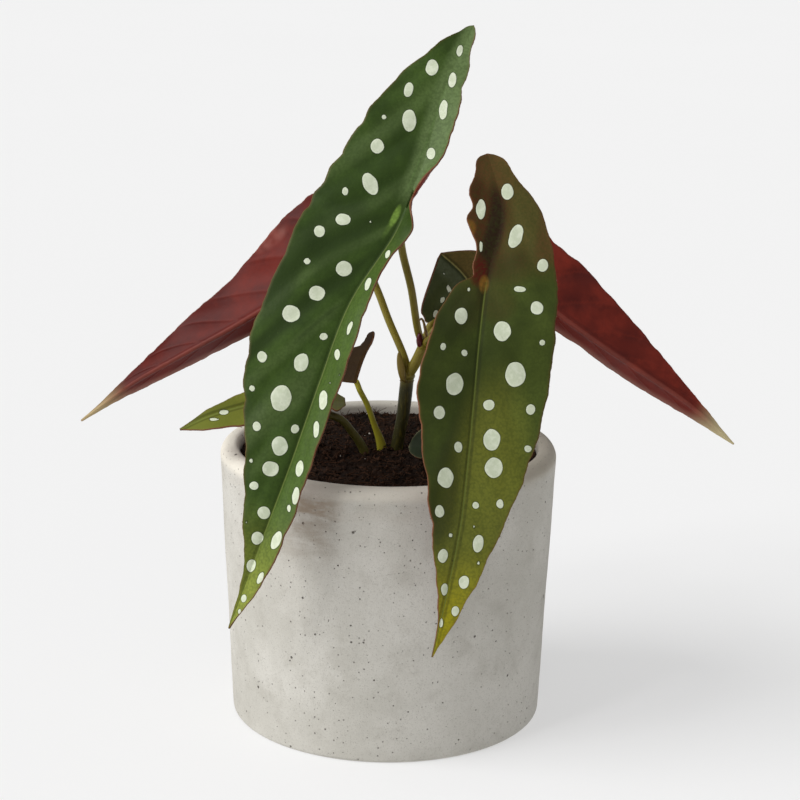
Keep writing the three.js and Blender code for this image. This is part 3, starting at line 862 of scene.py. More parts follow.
def leaf_grid(name, spacing):
    leaf = leaves[name]
    length = spine_steps(leaf, np.linspace(0, 1, 60)).sum()
    widest = max(leaf["left"]) + max(leaf["right"])
    rows = int(length / spacing)
    columns = 2 * int(widest / spacing / 2)
    u = np.linspace(0, 1, rows + 1)
    v = np.linspace(-1, 1, columns + 1)
    points, normals = blade(leaf, u, v)
    left, right = half_widths(leaf, u, -1), half_widths(leaf, u, 1)
    points = nibbled(points, v, u, leaf)
    out = np.abs(v)[None, :]
    width = np.where(v[None, :] < 0, left[:, None], right[:, None])
    down_mm = np.concatenate([[0], np.cumsum(spine_steps(leaf, u))])
    phase = crease_phase(leaf, u, out)
    per_turn = length / leaf["pleat"]["count"]
    from_vein = np.abs((phase / (2 * np.pi) + 0.75) % 1 - 0.5) * per_turn * vein_lean
    flat = np.stack([np.repeat(down_mm[:, None], len(v), 1), v[None, :] * width], -1)
    ends = np.minimum(down_mm, down_mm[-1] - down_mm)[:, None]
    measures = {
        "rib": flat[..., 1],
        "rim": np.minimum(width * (1 - out), ends),
        "vein": from_vein,
        "fold": (phase / (2 * np.pi) + 0.25) % 1,
        "down": np.repeat(u[:, None], len(v), 1),
        "below": np.repeat(np.clip((u[:, None] - leaf["join"][0]) / joint_blend, 0, 1), len(v), 1),
    }
    return points, normals, measures, flat, np.stack([left, right], 1), u


# %% Upper side, underside and rim
wobbles_per_mm, wobble_size = 0.35, 0.35


def leaf_piece(name, spacing, materials, seen_spots=None, grown=None):
    """One closed leaf; grown holds the seed, spacing and largest radius of scattered spots."""
    points, normals, measures, flat, widths, u = leaf_grid(name, spacing)
    spots = np.full(points.shape[:-1], far_off)
    if seen_spots:
        spots = np.minimum(spots, spot_depth_seen(points, seen_spots))
    if grown:
        spots = np.minimum(spots, spot_depth_grown(flat, widths, *grown))
    wobble = np.array([noise.noise(Vector(p) * wobbles_per_mm) for p in points.reshape(-1, 3)])
    measures["spot"] = spots + wobble_size * wobble.reshape(spots.shape)
    groove = groove_depth * np.exp(-(measures["rib"] / groove_half_width) ** 2) * measures["below"]
    groove = groove * np.clip(measures["rim"] / 2, 0, 1)
    upper = points + normals * (blade_thickness / 2 - groove)[..., None]
    lower = points - normals * (blade_thickness / 2 + ridges(measures, u))[..., None]
    both, faces, kinds = closed_sheet(upper, lower)
    doubled = {key: np.tile(value.ravel(), 2) for key, value in measures.items()}
    piece = make_piece(name + "_blade", both, faces, materials, kinds, doubled)
    stand_for(piece, name)


# %% [markdown]
# ### What a leaf's surfaces look like
#
# The upper side is a dark satin green. The broad folds between the side veins show as soft bands,
# painted lighter on their backs as painted sheen, and the veins themselves hardly show. Painted
# shade darkens the sides of the midrib's groove. The spots are pale and crisp, each in a thin dark
# line. The underside is deep red with soft cross bands of painted sheen, and the half that is
# folded away below the midrib is painted darker as painted shade, with a dusty-pink painted sheen
# at its margin. The margin itself is a thin brown line.
#
# A leaf also has areas of its own: a brown-red lobe, a golden joint, a yellow tip, and patches of
# painted shade and sheen. They are soft ovals, placed by how far down the spine they lie, 0 to 1,
# and how many millimetres from it.


# %% Soft areas on a leaf
def area(look, down_at, across_at, down_size, across_size):
    """1 in the middle of an oval area and 0 outside it."""
    down = (look.measure("down") - down_at) / down_size
    over = (look.measure("rib") - across_at) / across_size
    return (down * down + over * over).fall(0.15, 1.0)


# %% A band that runs as the side veins do, down and outwards from the midrib
vein_slope = 0.0066


def band(look, centre, half):
    """1 along a band that meets the midrib at centre, on the leaf's left half."""
    rib = look.measure("rib")
    across_band = look.measure("down") + rib * vein_slope - centre
    return across_band.size().fall(0.2 * half, half) * rib.fall(-5, -1)


# %% The upper side
def upper_look(name, deep, light, extra=None, edge=(114, 80, 50), sheen=0.42, specular=0.14,
               groove_shade=0.4):
    look = Look(name + "_upper", specular)
    spot, rib, rim = look.measures("spot", "rib", "rim")
    from_vein, fold, below_joint = look.measures("vein", "fold", "below")
    patches = look.grain(34, 4, 0.6)
    brushed = look.grain(1.0, 4, 0.6, at=look.stretched((150, 150, 60)))
    fine = look.grain(460, 3, 0.6)
    flecks = look.grain(1300, 2, 0.5)
    honeycomb = {"Vector": look.place(), "Scale": 1100}
    cells = look.node("TexVoronoi", {"feature": "SMOOTH_F1"}, honeycomb)
    inner = rib.size().rise(3, 9) * rim.rise(1, 5)
    # Painted sheen: the backs of the broad folds are painted lighter.
    painted_fold_sheen = (fold - 0.5).size().fall(0.05, 0.45) * inner
    green = look.coats(
        deep,
        (patches.rise(0.36, 0.68), light),
        (painted_fold_sheen * patches.rise(0.3, 0.6) * 0.22, light),
    )
    if extra:
        green = extra(look, green)
    groove = (rib.size() - 1.1).size().fall(0.1, 0.8) * below_joint
    midrib = rib.size().fall(0.1, 0.5) * below_joint
    ring = (spot - 0.12).size().fall(0.04, 0.3)
    silver = look.coats(
        (198, 206, 180),
        (fine.rise(0.4, 0.7), (214, 220, 198)),
        (spot.rise(-0.7, -0.1) * 0.4, (222, 227, 206)),
        (fine.rise(0.66, 0.78) * 0.5, (158, 166, 138)),
    )
    green = look.coats(
        green,
        (brushed.rise(0.42, 0.72) * 0.14, deep),
        (fine.rise(0.45, 0.75) * 0.2, deep),
        (cells.rise(0.3, 0.6) * 0.25, deep),
        (flecks.rise(0.66, 0.74) * 0.3, light),
        (from_vein.fall(0.03, 0.4) * inner * 0.14, light),
        # Painted shade on the sides of the midrib's groove.
        (groove * groove_shade, (34, 40, 14)),
        (midrib * 0.65, (112, 124, 58)),
        (ring * 0.6, (34, 44, 18)),
        (spot.fall(-0.1, 0.1), silver),
        (rim.fall(0.4, 1.6) * 0.12, edge),
        (rim.fall(0.12, 0.4) * 0.6, edge),
    )
    gloss = sheen + patches * 0.1 + fine * 0.1 + spot.fall(-0.2, 0.2) * 0.12
    relief = cells * 0.3 + fine * 0.6 + brushed * 0.5 + spot.fall(-0.3, 0.2) * 0.5
    return look.finish(green, gloss, relief, 0.00012)


# %% The underside
def under_look(name, deep, light, tip, folded_side=0, sheen=0.42, veined=1.0, extra=None):
    """Red with soft bands of painted sheen; folded_side is 1 or -1 where that half is folded away,
    painted darker as painted shade and with a pink painted sheen at its margin.
    """
    look = Look(name + "_under", specular=0.16)
    rib, rim, from_vein, down, fold = look.measures("rib", "rim", "vein", "down", "fold")
    patches = look.grain(45, 4, 0.6)
    streaks = look.grain(160, 4, 0.65)
    fine = look.grain(520, 3, 0.6)
    red = look.coats(
        deep,
        (patches.rise(0.36, 0.66), light),
        (streaks.rise(0.45, 0.72) * 0.35, deep),
        # Painted sheen on the backs of the folds between veins.
        ((fold - 0.5).size().fall(0.08, 0.45) * 0.2, light),
        (from_vein.fall(0.05, 1.2) * 0.1 * veined, (128, 50, 36)),
    )
    if folded_side:
        away = rib * folded_side
        folded = away.rise(0.2, 2.4)
        red = look.coats(
            red,
            # Painted shade on the half folded away.
            (folded * 0.5, (102, 24, 12)),
            # Pink painted sheen towards that half's margin.
            (folded * rim.fall(0.5, 4.5) * 0.55, (160, 116, 102)),
            # Painted shade along the fold beside the midrib.
            ((away + 1.6).size().fall(0.3, 1.6) * 0.4, deep),
        )
    red = look.coats(red, (rib.size().fall(0.2, 0.8) * 0.35 * veined, (146, 82, 70)))
    if extra:
        red = extra(look, red)
    red = look.coats(
        red,
        (down.rise(0.84, 0.97), tip),
        (rim.fall(0.12, 0.4) * 0.4 * veined, (134, 84, 62)),
    )
    gloss = sheen + patches * 0.12 + fine * 0.06
    return look.finish(red, gloss, fine * 0.4 + streaks * 0.4, 0.00014)


# %% The margin
def margin_look(name, tone):
    look = Look(name + "_margin", specular=0.3)
    fine = look.grain(300, 3, 0.6)
    return look.finish(look.mix(fine.rise(0.35, 0.7), tone, (104, 58, 36)), 0.5 + fine * 0.1)


# %% What is special to the left front leaf
def front_left_extra(look, green):
    """A grey-green half lobe, a yellower right half that is partly painted light, a yellow tip,
    a bright star at the joint, and painted sheen and shade in bands and patches.
    """
    rib, down = look.measures("rib", "down")
    half_lobe = (rib + 2 + down * 6).rise(-3.0, 1.2) * down.fall(0.30, 0.35)
    # Yellower right half, also painted lighter as painted light where it faces the lamps.
    right_half = rib.rise(-0.3, 0.6) * down.rise(0.36, 0.42)
    ray = (rib + 3.4).size().fall(0.2, 1.4) * (down - 0.372).size().fall(0.01, 0.035)
    thin_ray = (rib + 1.6 + (down - 0.24) * 16).size().fall(0.1, 0.45)
    thin_ray = thin_ray * down.fall(0.28, 0.33) * down.rise(0.08, 0.2)
    # Painted shade along a crease on the left half.
    crease = (rib + 2 + (down - 0.5) * 150).size().fall(0.3, 1.2) * area(look, 0.545, -8, 0.055, 10)
    # Bands of painted sheen and painted shade across the left half.
    shade, glow = (34, 50, 12), (88, 106, 60)
    bands = (
        (0.10, 0.05, glow, 0.35), (0.27, 0.03, glow, 0.3), (0.325, 0.03, shade, 0.5),
        (0.362, 0.02, glow, 0.35), (0.425, 0.036, shade, 0.85), (0.492, 0.026, glow, 0.35),
        (0.60, 0.06, glow, 0.55), (0.69, 0.035, glow, 0.3),
    )
    return look.coats(
        green,
        (half_lobe * 0.85, (100, 120, 72)),
        (right_half * 0.6, (82, 106, 42)),
        *((band(look, centre, half) * share, tone) for centre, half, tone, share in bands),
        # Patches of painted shade on the left half below the joint.
        (area(look, 0.50, -27, 0.09, 7) * 0.6, shade),
        (area(look, 0.42, -19, 0.08, 15) * 0.5, (28, 42, 10)),
        (down.rise(0.8, 1.0) * 0.8, (158, 166, 66)),
        (ray * 0.4, (104, 132, 56)),
        (thin_ray * 0.45, (96, 124, 66)),
        (crease * 0.3, (30, 44, 16)),
        (area(look, 0.358, -3.0, 0.024, 1.6) * 0.85, (124, 156, 66)),
    )


# %% What is special to the right front leaf
def front_right_extra(look, green):
    """A brown-red lobe with a golden bump, a golden joint and a yellow tip, with painted shade down
    the cupped lobe, along a fold and on the left half below the joint.
    """
    rib, down = look.measures("rib", "down")
    lobe = (down + rib.math("MAXIMUM", 0.0) * 0.002).fall(0.2, 0.31)
    fold_shadow = (down + rib * 0.0046 - 0.262).size().fall(0.004, 0.045)
    fold_shadow = fold_shadow * rib.rise(-2, 2) * rib.fall(9, 20)
    return look.coats(
        green,
        (lobe * 0.85, (84, 74, 32)),
        (lobe * rib.fall(-1, 7) * 0.9, (68, 32, 11)),
        (area(look, 0.33, -7, 0.06, 9) * 0.4, (64, 50, 22)),
        (area(look, 0.045, 3, 0.06, 12) * 0.6, (92, 70, 32)),
        # Painted shade down the cupped lobe.
        (area(look, 0.19, -1.5, 0.15, 4.5) * 0.95, (38, 22, 8)),
        (area(look, 0.235, 7, 0.05, 11) * 0.4, (62, 40, 16)),
        (area(look, 0.15, 19, 0.09, 6) * 0.5, (86, 50, 26)),
        (area(look, 0.256, -3.8, 0.036, 4.5) * 0.9, (80, 16, 7)),
        (fold_shadow * 0.25, (30, 20, 8)),
        (area(look, 0.183, -11.5, 0.024, 3.6) * 0.65, (128, 86, 22)),
        # Painted shade on the left half below the joint, which is turned from the light.
        (area(look, 0.34, -14, 0.07, 14) * 0.55, (38, 44, 18)),
        (area(look, 0.50, 22, 0.25, 10) * 0.35, (84, 98, 38)),
        (area(look, 0.74, 8, 0.34, 22) * 0.62, (122, 124, 44)),
        (area(look, 0.31, 5, 0.05, 9) * 0.5, (62, 52, 18)),
        (area(look, 0.70, -9, 0.13, 8) * 0.6, (48, 50, 6)),
        (down.rise(0.76, 0.97) * 0.9, (160, 150, 12)),
        (area(look, 0.277, -0.9, 0.022, 2.5) * 0.75, (136, 96, 32)),
    )


# %% What is special to the dark leaf in the middle
def middle_extra(look, green):
    """Its upper half, turned away and lit, is painted olive brown, partly its own colour and partly
    painted light; a lighter facet beside the fold is painted sheen; a pale line runs along the
    fold.
    """
    rib, down = look.measures("rib", "down")
    facet = rib.rise(0.5, 2) * rib.fall(4, 9) * down.rise(0.5, 0.7)
    fold_line = rib.size().fall(0.15, 0.55) * down.rise(0.4, 0.55)
    return look.coats(
        green,
        # Painted light in part: the olive-brown lit half.
        (rib.fall(-1.2, 0.2) * 0.85, (112, 92, 44)),
        # Painted sheen on a facet beside the fold.
        (facet * 0.6, (92, 100, 76)),
        (fold_line * 0.8, (172, 138, 98)),
    )


# %% What is special to the low leaf at the left
def low_left_extra(look, green):
    """The round lobe by the stalk is older and greyer than the rest."""
    return look.mix(look.measure("down").fall(0.3, 0.5) * 0.8, green, (88, 88, 68))


# %% What is special to the underside of the back leaf at the left
def back_left_extra(look, red):
    """A dusty glint near its upper margin."""
    streaks = look.grain(120, 2, 0.5).rise(0.25, 0.8)
    return look.mix(area(look, 0.345, 25.5, 0.06, 5) * streaks * 0.55, red, (178, 118, 106))


# %% The eight leaves
left_under = under_look(
    "red_left", (76, 16, 9), (108, 28, 15), (178, 158, 116), -1, extra=back_left_extra)
right_under = under_look("red_right", (86, 25, 18), (134, 45, 31), (206, 192, 148), 1)
red_under = under_look("red", (84, 22, 14), (120, 38, 24), (156, 140, 100))
brown_margin = margin_look("brown", (118, 78, 50))
red_margin = margin_look("red", (124, 76, 48))

left_upper = upper_look(
    "front_left", (40, 58, 16), (62, 84, 30), front_left_extra, groove_shade=0.15)
leaf_piece("leaf_front_left", 0.8, [left_upper, red_under, brown_margin], spots_front_left)

right_upper = upper_look(
    "front_right", (50, 60, 18), (70, 82, 30), front_right_extra, edge=(122, 76, 48))
leaf_piece("leaf_front_right", 0.8, [right_upper, red_under, red_margin], spots_front_right)

plain_upper = upper_look("back", (42, 62, 20), (66, 88, 36))
leaf_piece("leaf_back_left", 0.75, [plain_upper, left_under, brown_margin], grown=(11, 2.5, 3.6))
leaf_piece("leaf_back_right", 0.75, [plain_upper, right_under, brown_margin], grown=(12, 2.5, 3.6))

dark_upper = upper_look(
    "middle", (52, 60, 26), (68, 76, 38), middle_extra, edge=(96, 88, 56), sheen=0.5)
leaf_piece("leaf_middle", 0.8, [dark_upper, red_under, brown_margin], spots_middle)
low_upper = upper_look(
    "low", (106, 112, 38), (134, 138, 54), low_left_extra, edge=(120, 84, 48))
leaf_piece("leaf_low_left", 0.8, [low_upper, red_under, red_margin], spots_low_left)
young_upper = upper_look(
    "young", (36, 22, 6), (52, 36, 12), edge=(84, 60, 30), sheen=0.5, specular=0.08)
young_under = under_look("young", (36, 22, 6), (52, 36, 12), (52, 36, 12), sheen=0.5, veined=0.3)
leaf_piece("leaf_young", 0.7, [young_upper, young_under, brown_margin])
small_upper = upper_look("small", (30, 40, 20), (44, 56, 34), edge=(132, 130, 96))
leaf_piece("leaf_small_right", 0.7, [small_upper, red_under, brown_margin])

# %% [markdown]
# ## The shoots
#
# The main shoot rises from the peat, thickens at two nodes and sends a stalk to each large leaf.
# Every stalk is a round tube along a smooth curve, square to the blade where it joins and a little
# wider there. Papery bracts stand at the nodes, left from the buds that they once wrapped.

# %% The shoots' routes, in millimetres
soil_top = 108.0
rooted = 24.0
node_low = [7.2, -1, 139.5]
node_high = [13.5, -3, 152.5]
cane_foot = [[2.2, 0.5, soil_top - rooted], [3.2, 0.8, soil_top], [5.6, 0, 123], node_low]
branch = [node_low, [10.5, -2, 145.5], node_high]
hook = [
    [14.5, -7.8, 155], [14.3, -8.6, 158], [13.7, -8.8, 161], [13, -8.6, 163.6], [12.2, -8.4, 164.5],
    [11.4, -8.4, 163.6],
]
stalk_routes = {
    "leaf_front_left": [node_high, [11.4, -4.4, 157.5], [8.2, -11, 176.5], [3.8, -21, 198.5]],
    "leaf_front_right": [node_high, [16.3, -13, 157.9], [23.7, -28, 169], [30.7, -41, 179.7]],
    "leaf_back_left": [
        node_low, [6.4, 0, 145], [-0.6, 4, 161], [-5.6, 6, 173.5], [-11, 7.5, 183.5],
    ],
    "leaf_back_right": [node_high, [17, 4, 160.5], [29, 6, 170], [40, 0.5, 178]],
    "leaf_middle": [node_high, [18, 0, 158.5], [27, 0, 167]],
}
single_routes = {
    "young_stalk": ("leaf_young", [
        [-4, 1.2, soil_top - rooted], [-2.6, 1, soil_top], [-5.8, 0.2, 118.7], [-9.1, -1.2, 128.1],
        [-11.7, -2.4, 133.5]]),
    "low_stalk": ("leaf_low_left", [
        [-8, -3, soil_top - rooted], [-9.6, -3.5, soil_top], [-15, -5, 117.5], [-19, -6.5, 122.5]]),
    "small_stalk": ("leaf_small_right", [
        [25, -12, soil_top - rooted], [25, -13, soil_top], [24, -17, 112]]),
}


# %% Where a stalk meets its blade
def seat(name, depths=(5, 0.3)):
    leaf = leaves[name]
    join_u, join_v = leaf["join"]
    around_u = join_u + np.array([-0.01, 0, 0.01])
    around_v = join_v + np.array([-0.01, 0, 0.01])
    side = -1 if join_v < 0 else 1
    grid = blade_half(leaf, around_u, np.abs(around_v)[None, :], side, False)
    if join_v == 0:
        grid[:, 0] = blade_half(leaf, around_u, np.array([[0.01]]), -1, False)[:, 0]
    normal = unit(np.cross(grid[2, 1] - grid[0, 1], grid[1, 2] - grid[1, 0]))
    return [grid[1, 1] - normal * depth for depth in depths]


# %% A smooth curve through points, evenly paced by the distance between them
def curve_through(points, steps):
    points = np.array(points, float)
    longer = extended(points)
    paces = np.linspace(0, 1, steps, endpoint=False)[:, None]
    made = []
    for k in range(1, len(points)):
        p0, p1, p2, p3 = longer[k - 1:k + 3]
        pairs = ((p0, p1), (p1, p2), (p2, p3))
        g0, g1, g2 = (max(np.linalg.norm(b - a), 1e-4) ** 0.5 for a, b in pairs)
        leave = ((p1 - p0) / g0 - (p2 - p0) / (g0 + g1) + (p2 - p1) / g1) * g1
        arrive = ((p2 - p1) / g1 - (p3 - p1) / (g1 + g2) + (p3 - p2) / g2) * g1
        made.append(cubic(p1, p2, leave, arrive, paces))
    return np.concatenate([*made, points[-1:]])


# %% A tube with a changing radius, and a list that collects tubes into one mesh
def tube(path, radii, sides=20):
    points = []
    tangent = unit(np.gradient(path, axis=0))
    across = unit(np.cross(tangent[0], [0.3, 1, 0.1]))
    angles = 2 * np.pi * np.arange(sides) / sides
    for k, centre in enumerate(path):
        across = unit(across - (across @ tangent[k]) * tangent[k])
        over = np.cross(tangent[k], across)
        ring = np.cos(angles)[:, None] * across + np.sin(angles)[:, None] * over
        points += list(centre + radii[k] * ring)
    faces = ring_faces(len(path), sides)
    faces.append(tuple(range(sides - 1, -1, -1)))
    last = (len(path) - 1) * sides
    faces.append(tuple(range(last, last + sides)))
    return points, faces


class Collected:
    def __init__(self):
        self.points = []
        self.faces = []
        self.tone = []

    def add(self, made, tone=0.0):
        points, faces = made
        start = len(self.points)
        self.points += list(points)
        self.faces += [tuple(start + i for i in face) for face in faces]
        self.tone += [tone] * len(points)

    def piece(self, name, material):
        return make_piece(name, self.points, self.faces, [material], measures={"tone": self.tone})


# %% Lumpy swellings and papery bracts
def swelling(centre, half_sizes, rings=12, sides=20):
    polar = np.linspace(0, np.pi, rings + 1)[:, None]
    angle = 2 * np.pi * np.arange(sides)[None, :] / sides
    ball = np.stack([
        np.sin(polar) * np.cos(angle),
        np.sin(polar) * np.sin(angle),
        np.repeat(np.cos(polar), sides, 1),
    ], -1).reshape(-1, 3)
    faces = [(a, d, c, b) for a, b, c, d in ring_faces(rings + 1, sides)]
    return np.array(centre) + np.array(half_sizes) * ball, faces


def bract(base, top, width, outward, cup, flare, rows=14, columns=8):
    """A thin pointed shell that hugs the stem and bends away from it at its top."""
    base, top, outward = (np.array(x, float) for x in (base, top, outward))
    across = unit(np.cross(outward, top - base))
    outward = unit(outward)
    t = np.linspace(0, 1, rows + 1)[:, None]
    s = np.linspace(-1, 1, columns + 1)[None, :]
    half = width / 2 * np.sin(np.pi * np.minimum(0.18 + 0.82 * t, 1)) ** 0.7
    bow = cup * width * (1 - s * s) * np.sin(np.pi * t) ** 0.5 + flare * t * t
    sheet = base + (top - base) * t[..., None] + across * (half * s)[..., None]
    upper, lower = (sheet + outward * (level + bow)[..., None] for level in (0.2, -0.2))
    points, faces, _ = closed_sheet(upper, lower)
    return points, faces


# %% Skin of the shoots
def stem_look(name, dark_tone, light_tone, papery):
    """Darker near the peat; a tone of 1 makes a part papery, and 2 makes it dark red."""
    look = Look(name, specular=0.35)
    streaks = look.grain(1.0, 3, 0.6, at=look.stretched((900, 900, 120)))
    patches = look.grain(70, 3, 0.6)
    fine = look.grain(1400, 2, 0.6)
    tone = look.measure("tone")
    skin = look.coats(
        dark_tone,
        (look.axis(2).rise(0.134, 0.143), light_tone),
        (streaks.rise(0.5, 0.7) * 0.3, light_tone),
        (patches.rise(0.5, 0.7) * 0.3, dark_tone),
        (tone.math("MINIMUM", 1.0), papery),
        (tone.rise(1.4, 1.8), (84, 12, 20)),
        (fine.rise(0.66, 0.74) * 0.35, (150, 142, 98)),
    )
    return look.finish(skin, 0.36 + patches * 0.16, streaks * 0.6 + fine * 0.4, 0.0001)


cane_skin = stem_look("cane_skin", (50, 48, 15), (132, 120, 40), (116, 92, 46))

# %% The main shoot
cane_radius, branch_radius = 2.6, 2.2
half_papery, papery, bud = 0.55, 1.0, 2.0
shoot = Collected()
foot_path = curve_through(cane_foot, 12)
shoot.add(tube(foot_path, cane_radius + 0.12 * np.sin(np.linspace(0, 9, len(foot_path)))))
branch_path = curve_through(branch, 8)
shoot.add(tube(branch_path, np.full(len(branch_path), branch_radius)))
shoot.add(swelling(node_low, (3.1, 3.1, 2.1)))
shoot.add(swelling(np.array(node_low) + [-0.2, 0, -2.0], (2.95, 2.95, 0.5)), 0.35)
shoot.add(swelling(node_high, (2.7, 2.7, 2.4)))
stalk_radius, foot_swell, end_swell = 1.5, 0.45, 0.5
for name, route in stalk_routes.items():
    path = curve_through([*route, *seat(name)], 10)
    part = np.linspace(0, 1, len(path))
    swell = foot_swell * np.exp(-(part / 0.08) ** 2) + end_swell * np.exp(-((1 - part) / 0.05) ** 2)
    shoot.add(tube(path, stalk_radius + swell))
low_bract = bract(
    base=[5.6, -3.0, 137.4], top=[3.8, -2.4, 149.8], width=4.0, outward=[-1, -0.8, 0], cup=0.4,
    flare=0.1)
shoot.add(low_bract, half_papery)
hook_path = curve_through(hook, 6)
shoot.add(tube(hook_path, np.linspace(0.75, 0.3, len(hook_path))), papery)
bud_centre, bud_half_sizes = [11.7, -6.6, 155.4], (1.3, 1.4, 2.9)
shoot.add(swelling(bud_centre, bud_half_sizes), bud)
stand_for(shoot.piece("cane_shoot", cane_skin), "cane")

# %% The three single stalks, each thicker where it leaves the peat
young_skin = stem_look("young_skin", (154, 148, 40), (166, 158, 54), (120, 80, 40))
low_skin = stem_look("low_skin", (84, 80, 30), (108, 98, 40), (120, 80, 40))
single_looks = {
    "young_stalk": (young_skin, 1.15, 2.0, (0.7, 0.2)),
    "low_stalk": (low_skin, 1.55, 1.85, (5, 0.3)),
    "small_stalk": (low_skin, 1.0, 1.35, (5, 0.3)),
}
flare_height = 7
for name, (blade_name, route) in single_routes.items():
    skin, upper_radius, foot_radius, approach = single_looks[name]
    single = Collected()
    path = curve_through([*route, *seat(blade_name, approach)], 12)
    flare = np.exp(-(np.maximum(path[:, 2] - soil_top, 0) / flare_height) ** 2)
    single.add(tube(path, upper_radius + (foot_radius - upper_radius) * flare))
    stand_for(single.piece(name + "_shoot", skin), name)

# %% [markdown]
# ## The peat
#
# Potting peat is a dark, springy mass of fibres and crumbs. Its top is a fine polar grid lifted by
# noise of three sizes; on it lie some four thousand loose crumbs and fibres, seeded so that they
# fall the same way every time. The holes for the shoots are left to the solids: here the peat
# closes round the stems as it does in a real pot.

# %% The peat's body
fit = 0.3
bottom = floor_thickness + fit
soil_radius = wall_radius(soil_top) - wall - fit
low_radius = wall_radius(bottom) - wall - fit
rings, sides = 74, 240
soil_profile = np.concatenate([
    [[0, bottom], [low_radius - floor_round, bottom], [low_radius - fit, bottom + floor_round]],
    [[soil_radius - fit, soil_top - 3]],
    np.stack([np.linspace(soil_radius - fit, 0, rings), np.full(rings, soil_top)], 1),
])
soil_points, soil_faces = turned(soil_profile, sides)


def soil_height(x, y):
    mound = 1 - math.hypot(x, y) / top_radius
    lumps = math.sin(x * 0.21 + 0.6) * math.cos(y * 0.17 - 0.4)
    lumps += 0.6 * math.sin(x * 0.37 - y * 0.29 + 1.9)
    smooth = soil_top + 0.9 * (mound + 0.5 * lumps - 0.4)
    clods = 1.5 * abs(noise.noise(Vector((x * 0.16, y * 0.16, 3.1))))
    crumbs = 1.1 * noise.noise(Vector((x * 0.55, y * 0.55, 8.4)))
    grit = 0.6 * noise.noise(Vector((x * 1.7, y * 1.7, 1.2)))
    return smooth - 0.5 + clods + crumbs + grit


for k, (x, y, z) in enumerate(soil_points):
    if z > soil_top - 0.5:
        soil_points[k, 2] = soil_height(x, y)
heights = soil_points[:, 2]
print("peat from", round(float(heights.min()), 1), "to", round(float(heights.max()), 1), "mm")

# %% Crumbs and fibres on the peat
fibre_steps, standing_steps, fibre_sides = 6, 4, 4
random = np.random.default_rng(7)
peat = Collected()
peat.add((soil_points, soil_faces))


def crumb(centre, size):
    """A small lump: six corners pushed about at random, with a face in each eighth."""
    corners = np.array([[1, 0, 0], [0, 1, 0], [-1, 0, 0], [0, -1, 0], [0, 0, 1], [0, 0, -1]], float)
    corners = corners * size * random.uniform(0.6, 1.2, (6, 3)) + centre
    corners = corners + random.normal(0, size * 0.15, (6, 3))
    faces = [(4, 0, 1), (4, 1, 2), (4, 2, 3), (4, 3, 0), (5, 1, 0), (5, 2, 1), (5, 3, 2), (5, 0, 3)]
    return corners, faces


def fibre(start, length, thickness):
    heading = random.uniform(0, 2 * math.pi)
    path = [np.array(start)]
    for _ in range(fibre_steps):
        heading += random.normal(0, 0.5)
        step = np.array([math.cos(heading), math.sin(heading), random.normal(0.05, 0.25)])
        path.append(path[-1] + step * length / fibre_steps)
    return tube(np.array(path), np.full(fibre_steps + 1, thickness), fibre_sides)


def standing_fibre(start, length):
    """A short fibre that stands up out of the peat, as they do along the wall."""
    lean = random.normal(0, 0.45, 3) * [1, 1, 0]
    path = [np.array(start)]
    for _ in range(standing_steps):
        lean += random.normal(0, 0.25, 3)
        path.append(path[-1] + unit(lean + [0, 0, 1]) * length / standing_steps)
    return tube(np.array(path), np.linspace(0.17, 0.07, standing_steps + 1), fibre_sides)


def on_soil():
    radius = (soil_radius - 2.5) * math.sqrt(random.uniform(0, 1))
    angle = random.uniform(0, 2 * math.pi)
    x, y = radius * math.cos(angle), radius * math.sin(angle)
    return np.array([x, y, soil_height(x, y)])


crumb_count, fibre_count, standing_count, pearl_count = 2600, 900, 700, 9
for _ in range(crumb_count):
    size = 0.35 + 1.0 * random.uniform(0, 1) ** 4
    peat.add(crumb(on_soil() + [0, 0, size * 0.2], size), random.choice([0.1, 0.3, 0.6]))
for _ in range(fibre_count):
    start = on_soil() + [0, 0, 0.25]
    lying = fibre(start, random.uniform(2, 7), random.uniform(0.08, 0.2))
    peat.add(lying, random.uniform(0.5, 1))
for _ in range(standing_count):
    angle = random.uniform(0, 2 * math.pi)
    radius = soil_radius - random.uniform(0.8, 6)
    x, y = radius * math.cos(angle), radius * math.sin(angle)
    foot = [x, y, soil_height(x, y) - 0.3]
    peat.add(standing_fibre(foot, random.uniform(1.2, 3.6)), random.uniform(0.6, 1.2))
for _ in range(pearl_count):
    peat.add(crumb(on_soil() + [0, 0, 0.4], random.uniform(0.3, 0.55)), 2.0)

peat.points = np.array(peat.points)
distance = np.hypot(peat.points[:, 0], peat.points[:, 1])
outside = distance > soil_radius - fit
peat.points[outside, :2] *= ((soil_radius - fit) / distance[outside])[:, None]
print(int(outside.sum()), "points drawn back from the pot's wall")

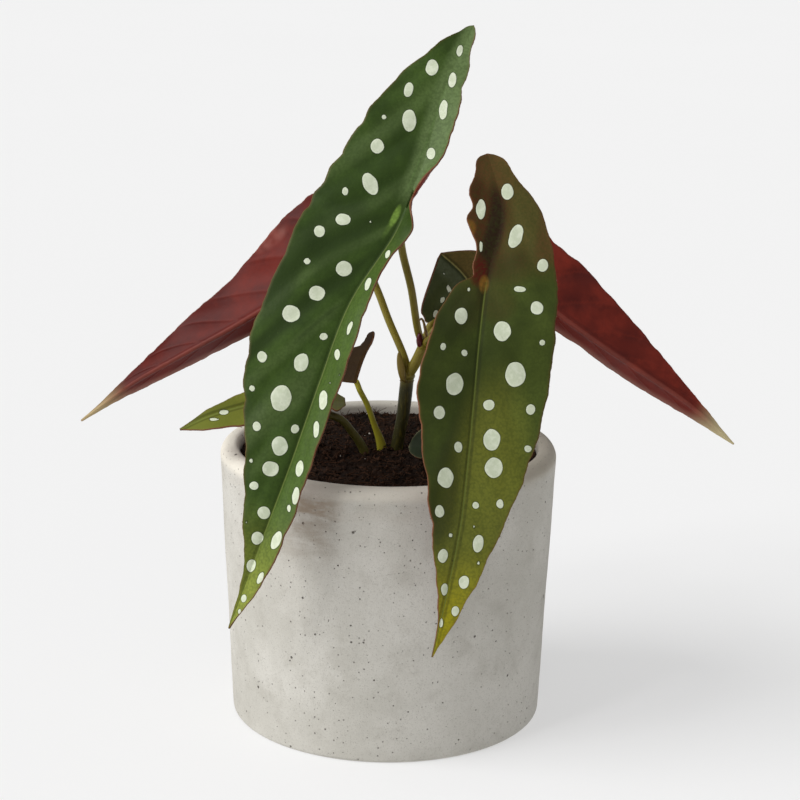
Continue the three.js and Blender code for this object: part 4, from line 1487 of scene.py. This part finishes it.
# %% Peat's look
peat_look = Look("peat", specular=0.15)
tone = peat_look.measure("tone")
clumps = peat_look.grain(160, 5, 0.7)
threads = peat_look.grain(1200, 4, 0.7)
dark_brown = peat_look.coats(
    (20, 12, 7),
    (clumps.rise(0.35, 0.7), (44, 29, 19)),
    (threads.rise(0.55, 0.8) * 0.5, (84, 60, 42)),
    (tone.math("MINIMUM", 1.0) * 0.5, (98, 66, 46)),
    (tone.rise(1.4, 1.8), (206, 198, 186)),
)
peat_look.finish(dark_brown, 0.88 + threads * 0.1, clumps + threads * 0.6, 0.0006)
soil = peat.piece("peat_bed", peat_look.material)
soil.data.polygons.foreach_set("use_smooth", np.zeros(len(soil.data.polygons), bool))
stand_for(soil, "soil")

# %% [markdown]
# ## Floor and light
#
# The picture is a studio shot: a pale sweep of floor that runs up into a pale wall, a broad key
# light from the left, a smaller and sharper lamp from the front left that throws the leaves'
# shadows on the pot, and white all round that fills them. The floor is no part of the plant. It
# glows a little, which is painted light and no lamp, so that the shadow on it stays pale.

# %% The floor
floor_look = Look("floor", specular=0.0)
floor_grain = floor_look.grain(2.0, 2, 0.5)
floor_tone = floor_look.mix(floor_grain, (183, 183, 183), (185, 185, 185))
floor_look.finish(floor_tone, 0.85 + floor_grain * 0.05)
white = (1.0, 1.0, 1.0, 1.0)
# The floor's glow is painted light, which keeps its shadow pale.
floor_glow = 0.44
floor_look.shader.inputs["Emission Color"].default_value = white
floor_look.shader.inputs["Emission Strength"].default_value = floor_glow
floor_half = 9000
floor_signs = ((-1, -1), (1, -1), (1, 1), (-1, 1))
floor_corners = [[x * floor_half, y * floor_half, 0] for x, y in floor_signs]
floor = make_piece("floor", floor_corners, [(0, 1, 2, 3)], [floor_look.material])

# %% The lights
world = bpy.data.worlds.new("studio")
scene.world = world
world.use_nodes = True
surroundings = world.node_tree.nodes["Background"]
surroundings.inputs["Color"].default_value = white
surroundings_glow = 0.27
surroundings.inputs["Strength"].default_value = surroundings_glow


def soft_light(name, azimuth, elevation, spread, strength):
    """A far light, as wide as its spread in degrees; azimuth runs from the front to the right."""
    data = bpy.data.lights.new(name, "SUN")
    data.angle = math.radians(spread)
    data.energy = strength
    lamp = bpy.data.objects.new(name, data)
    across, up = math.radians(azimuth), math.radians(elevation)
    flat = math.cos(up)
    towards = Vector((math.sin(across) * flat, -math.cos(across) * flat, math.sin(up)))
    lamp.rotation_euler = (-towards).to_track_quat("-Z", "Y").to_euler()
    scene.collection.objects.link(lamp)


soft_light("key", -76, 36, 40, 2.05)
soft_light("lamp", -48, 34, 10, 0.52)
soft_light("front", -12, 40, 60, 0.06)
soft_light("overhead", 20, 78, 90, 0.6)

scene.view_settings.view_transform = "Standard"
scene.view_settings.look = "None"
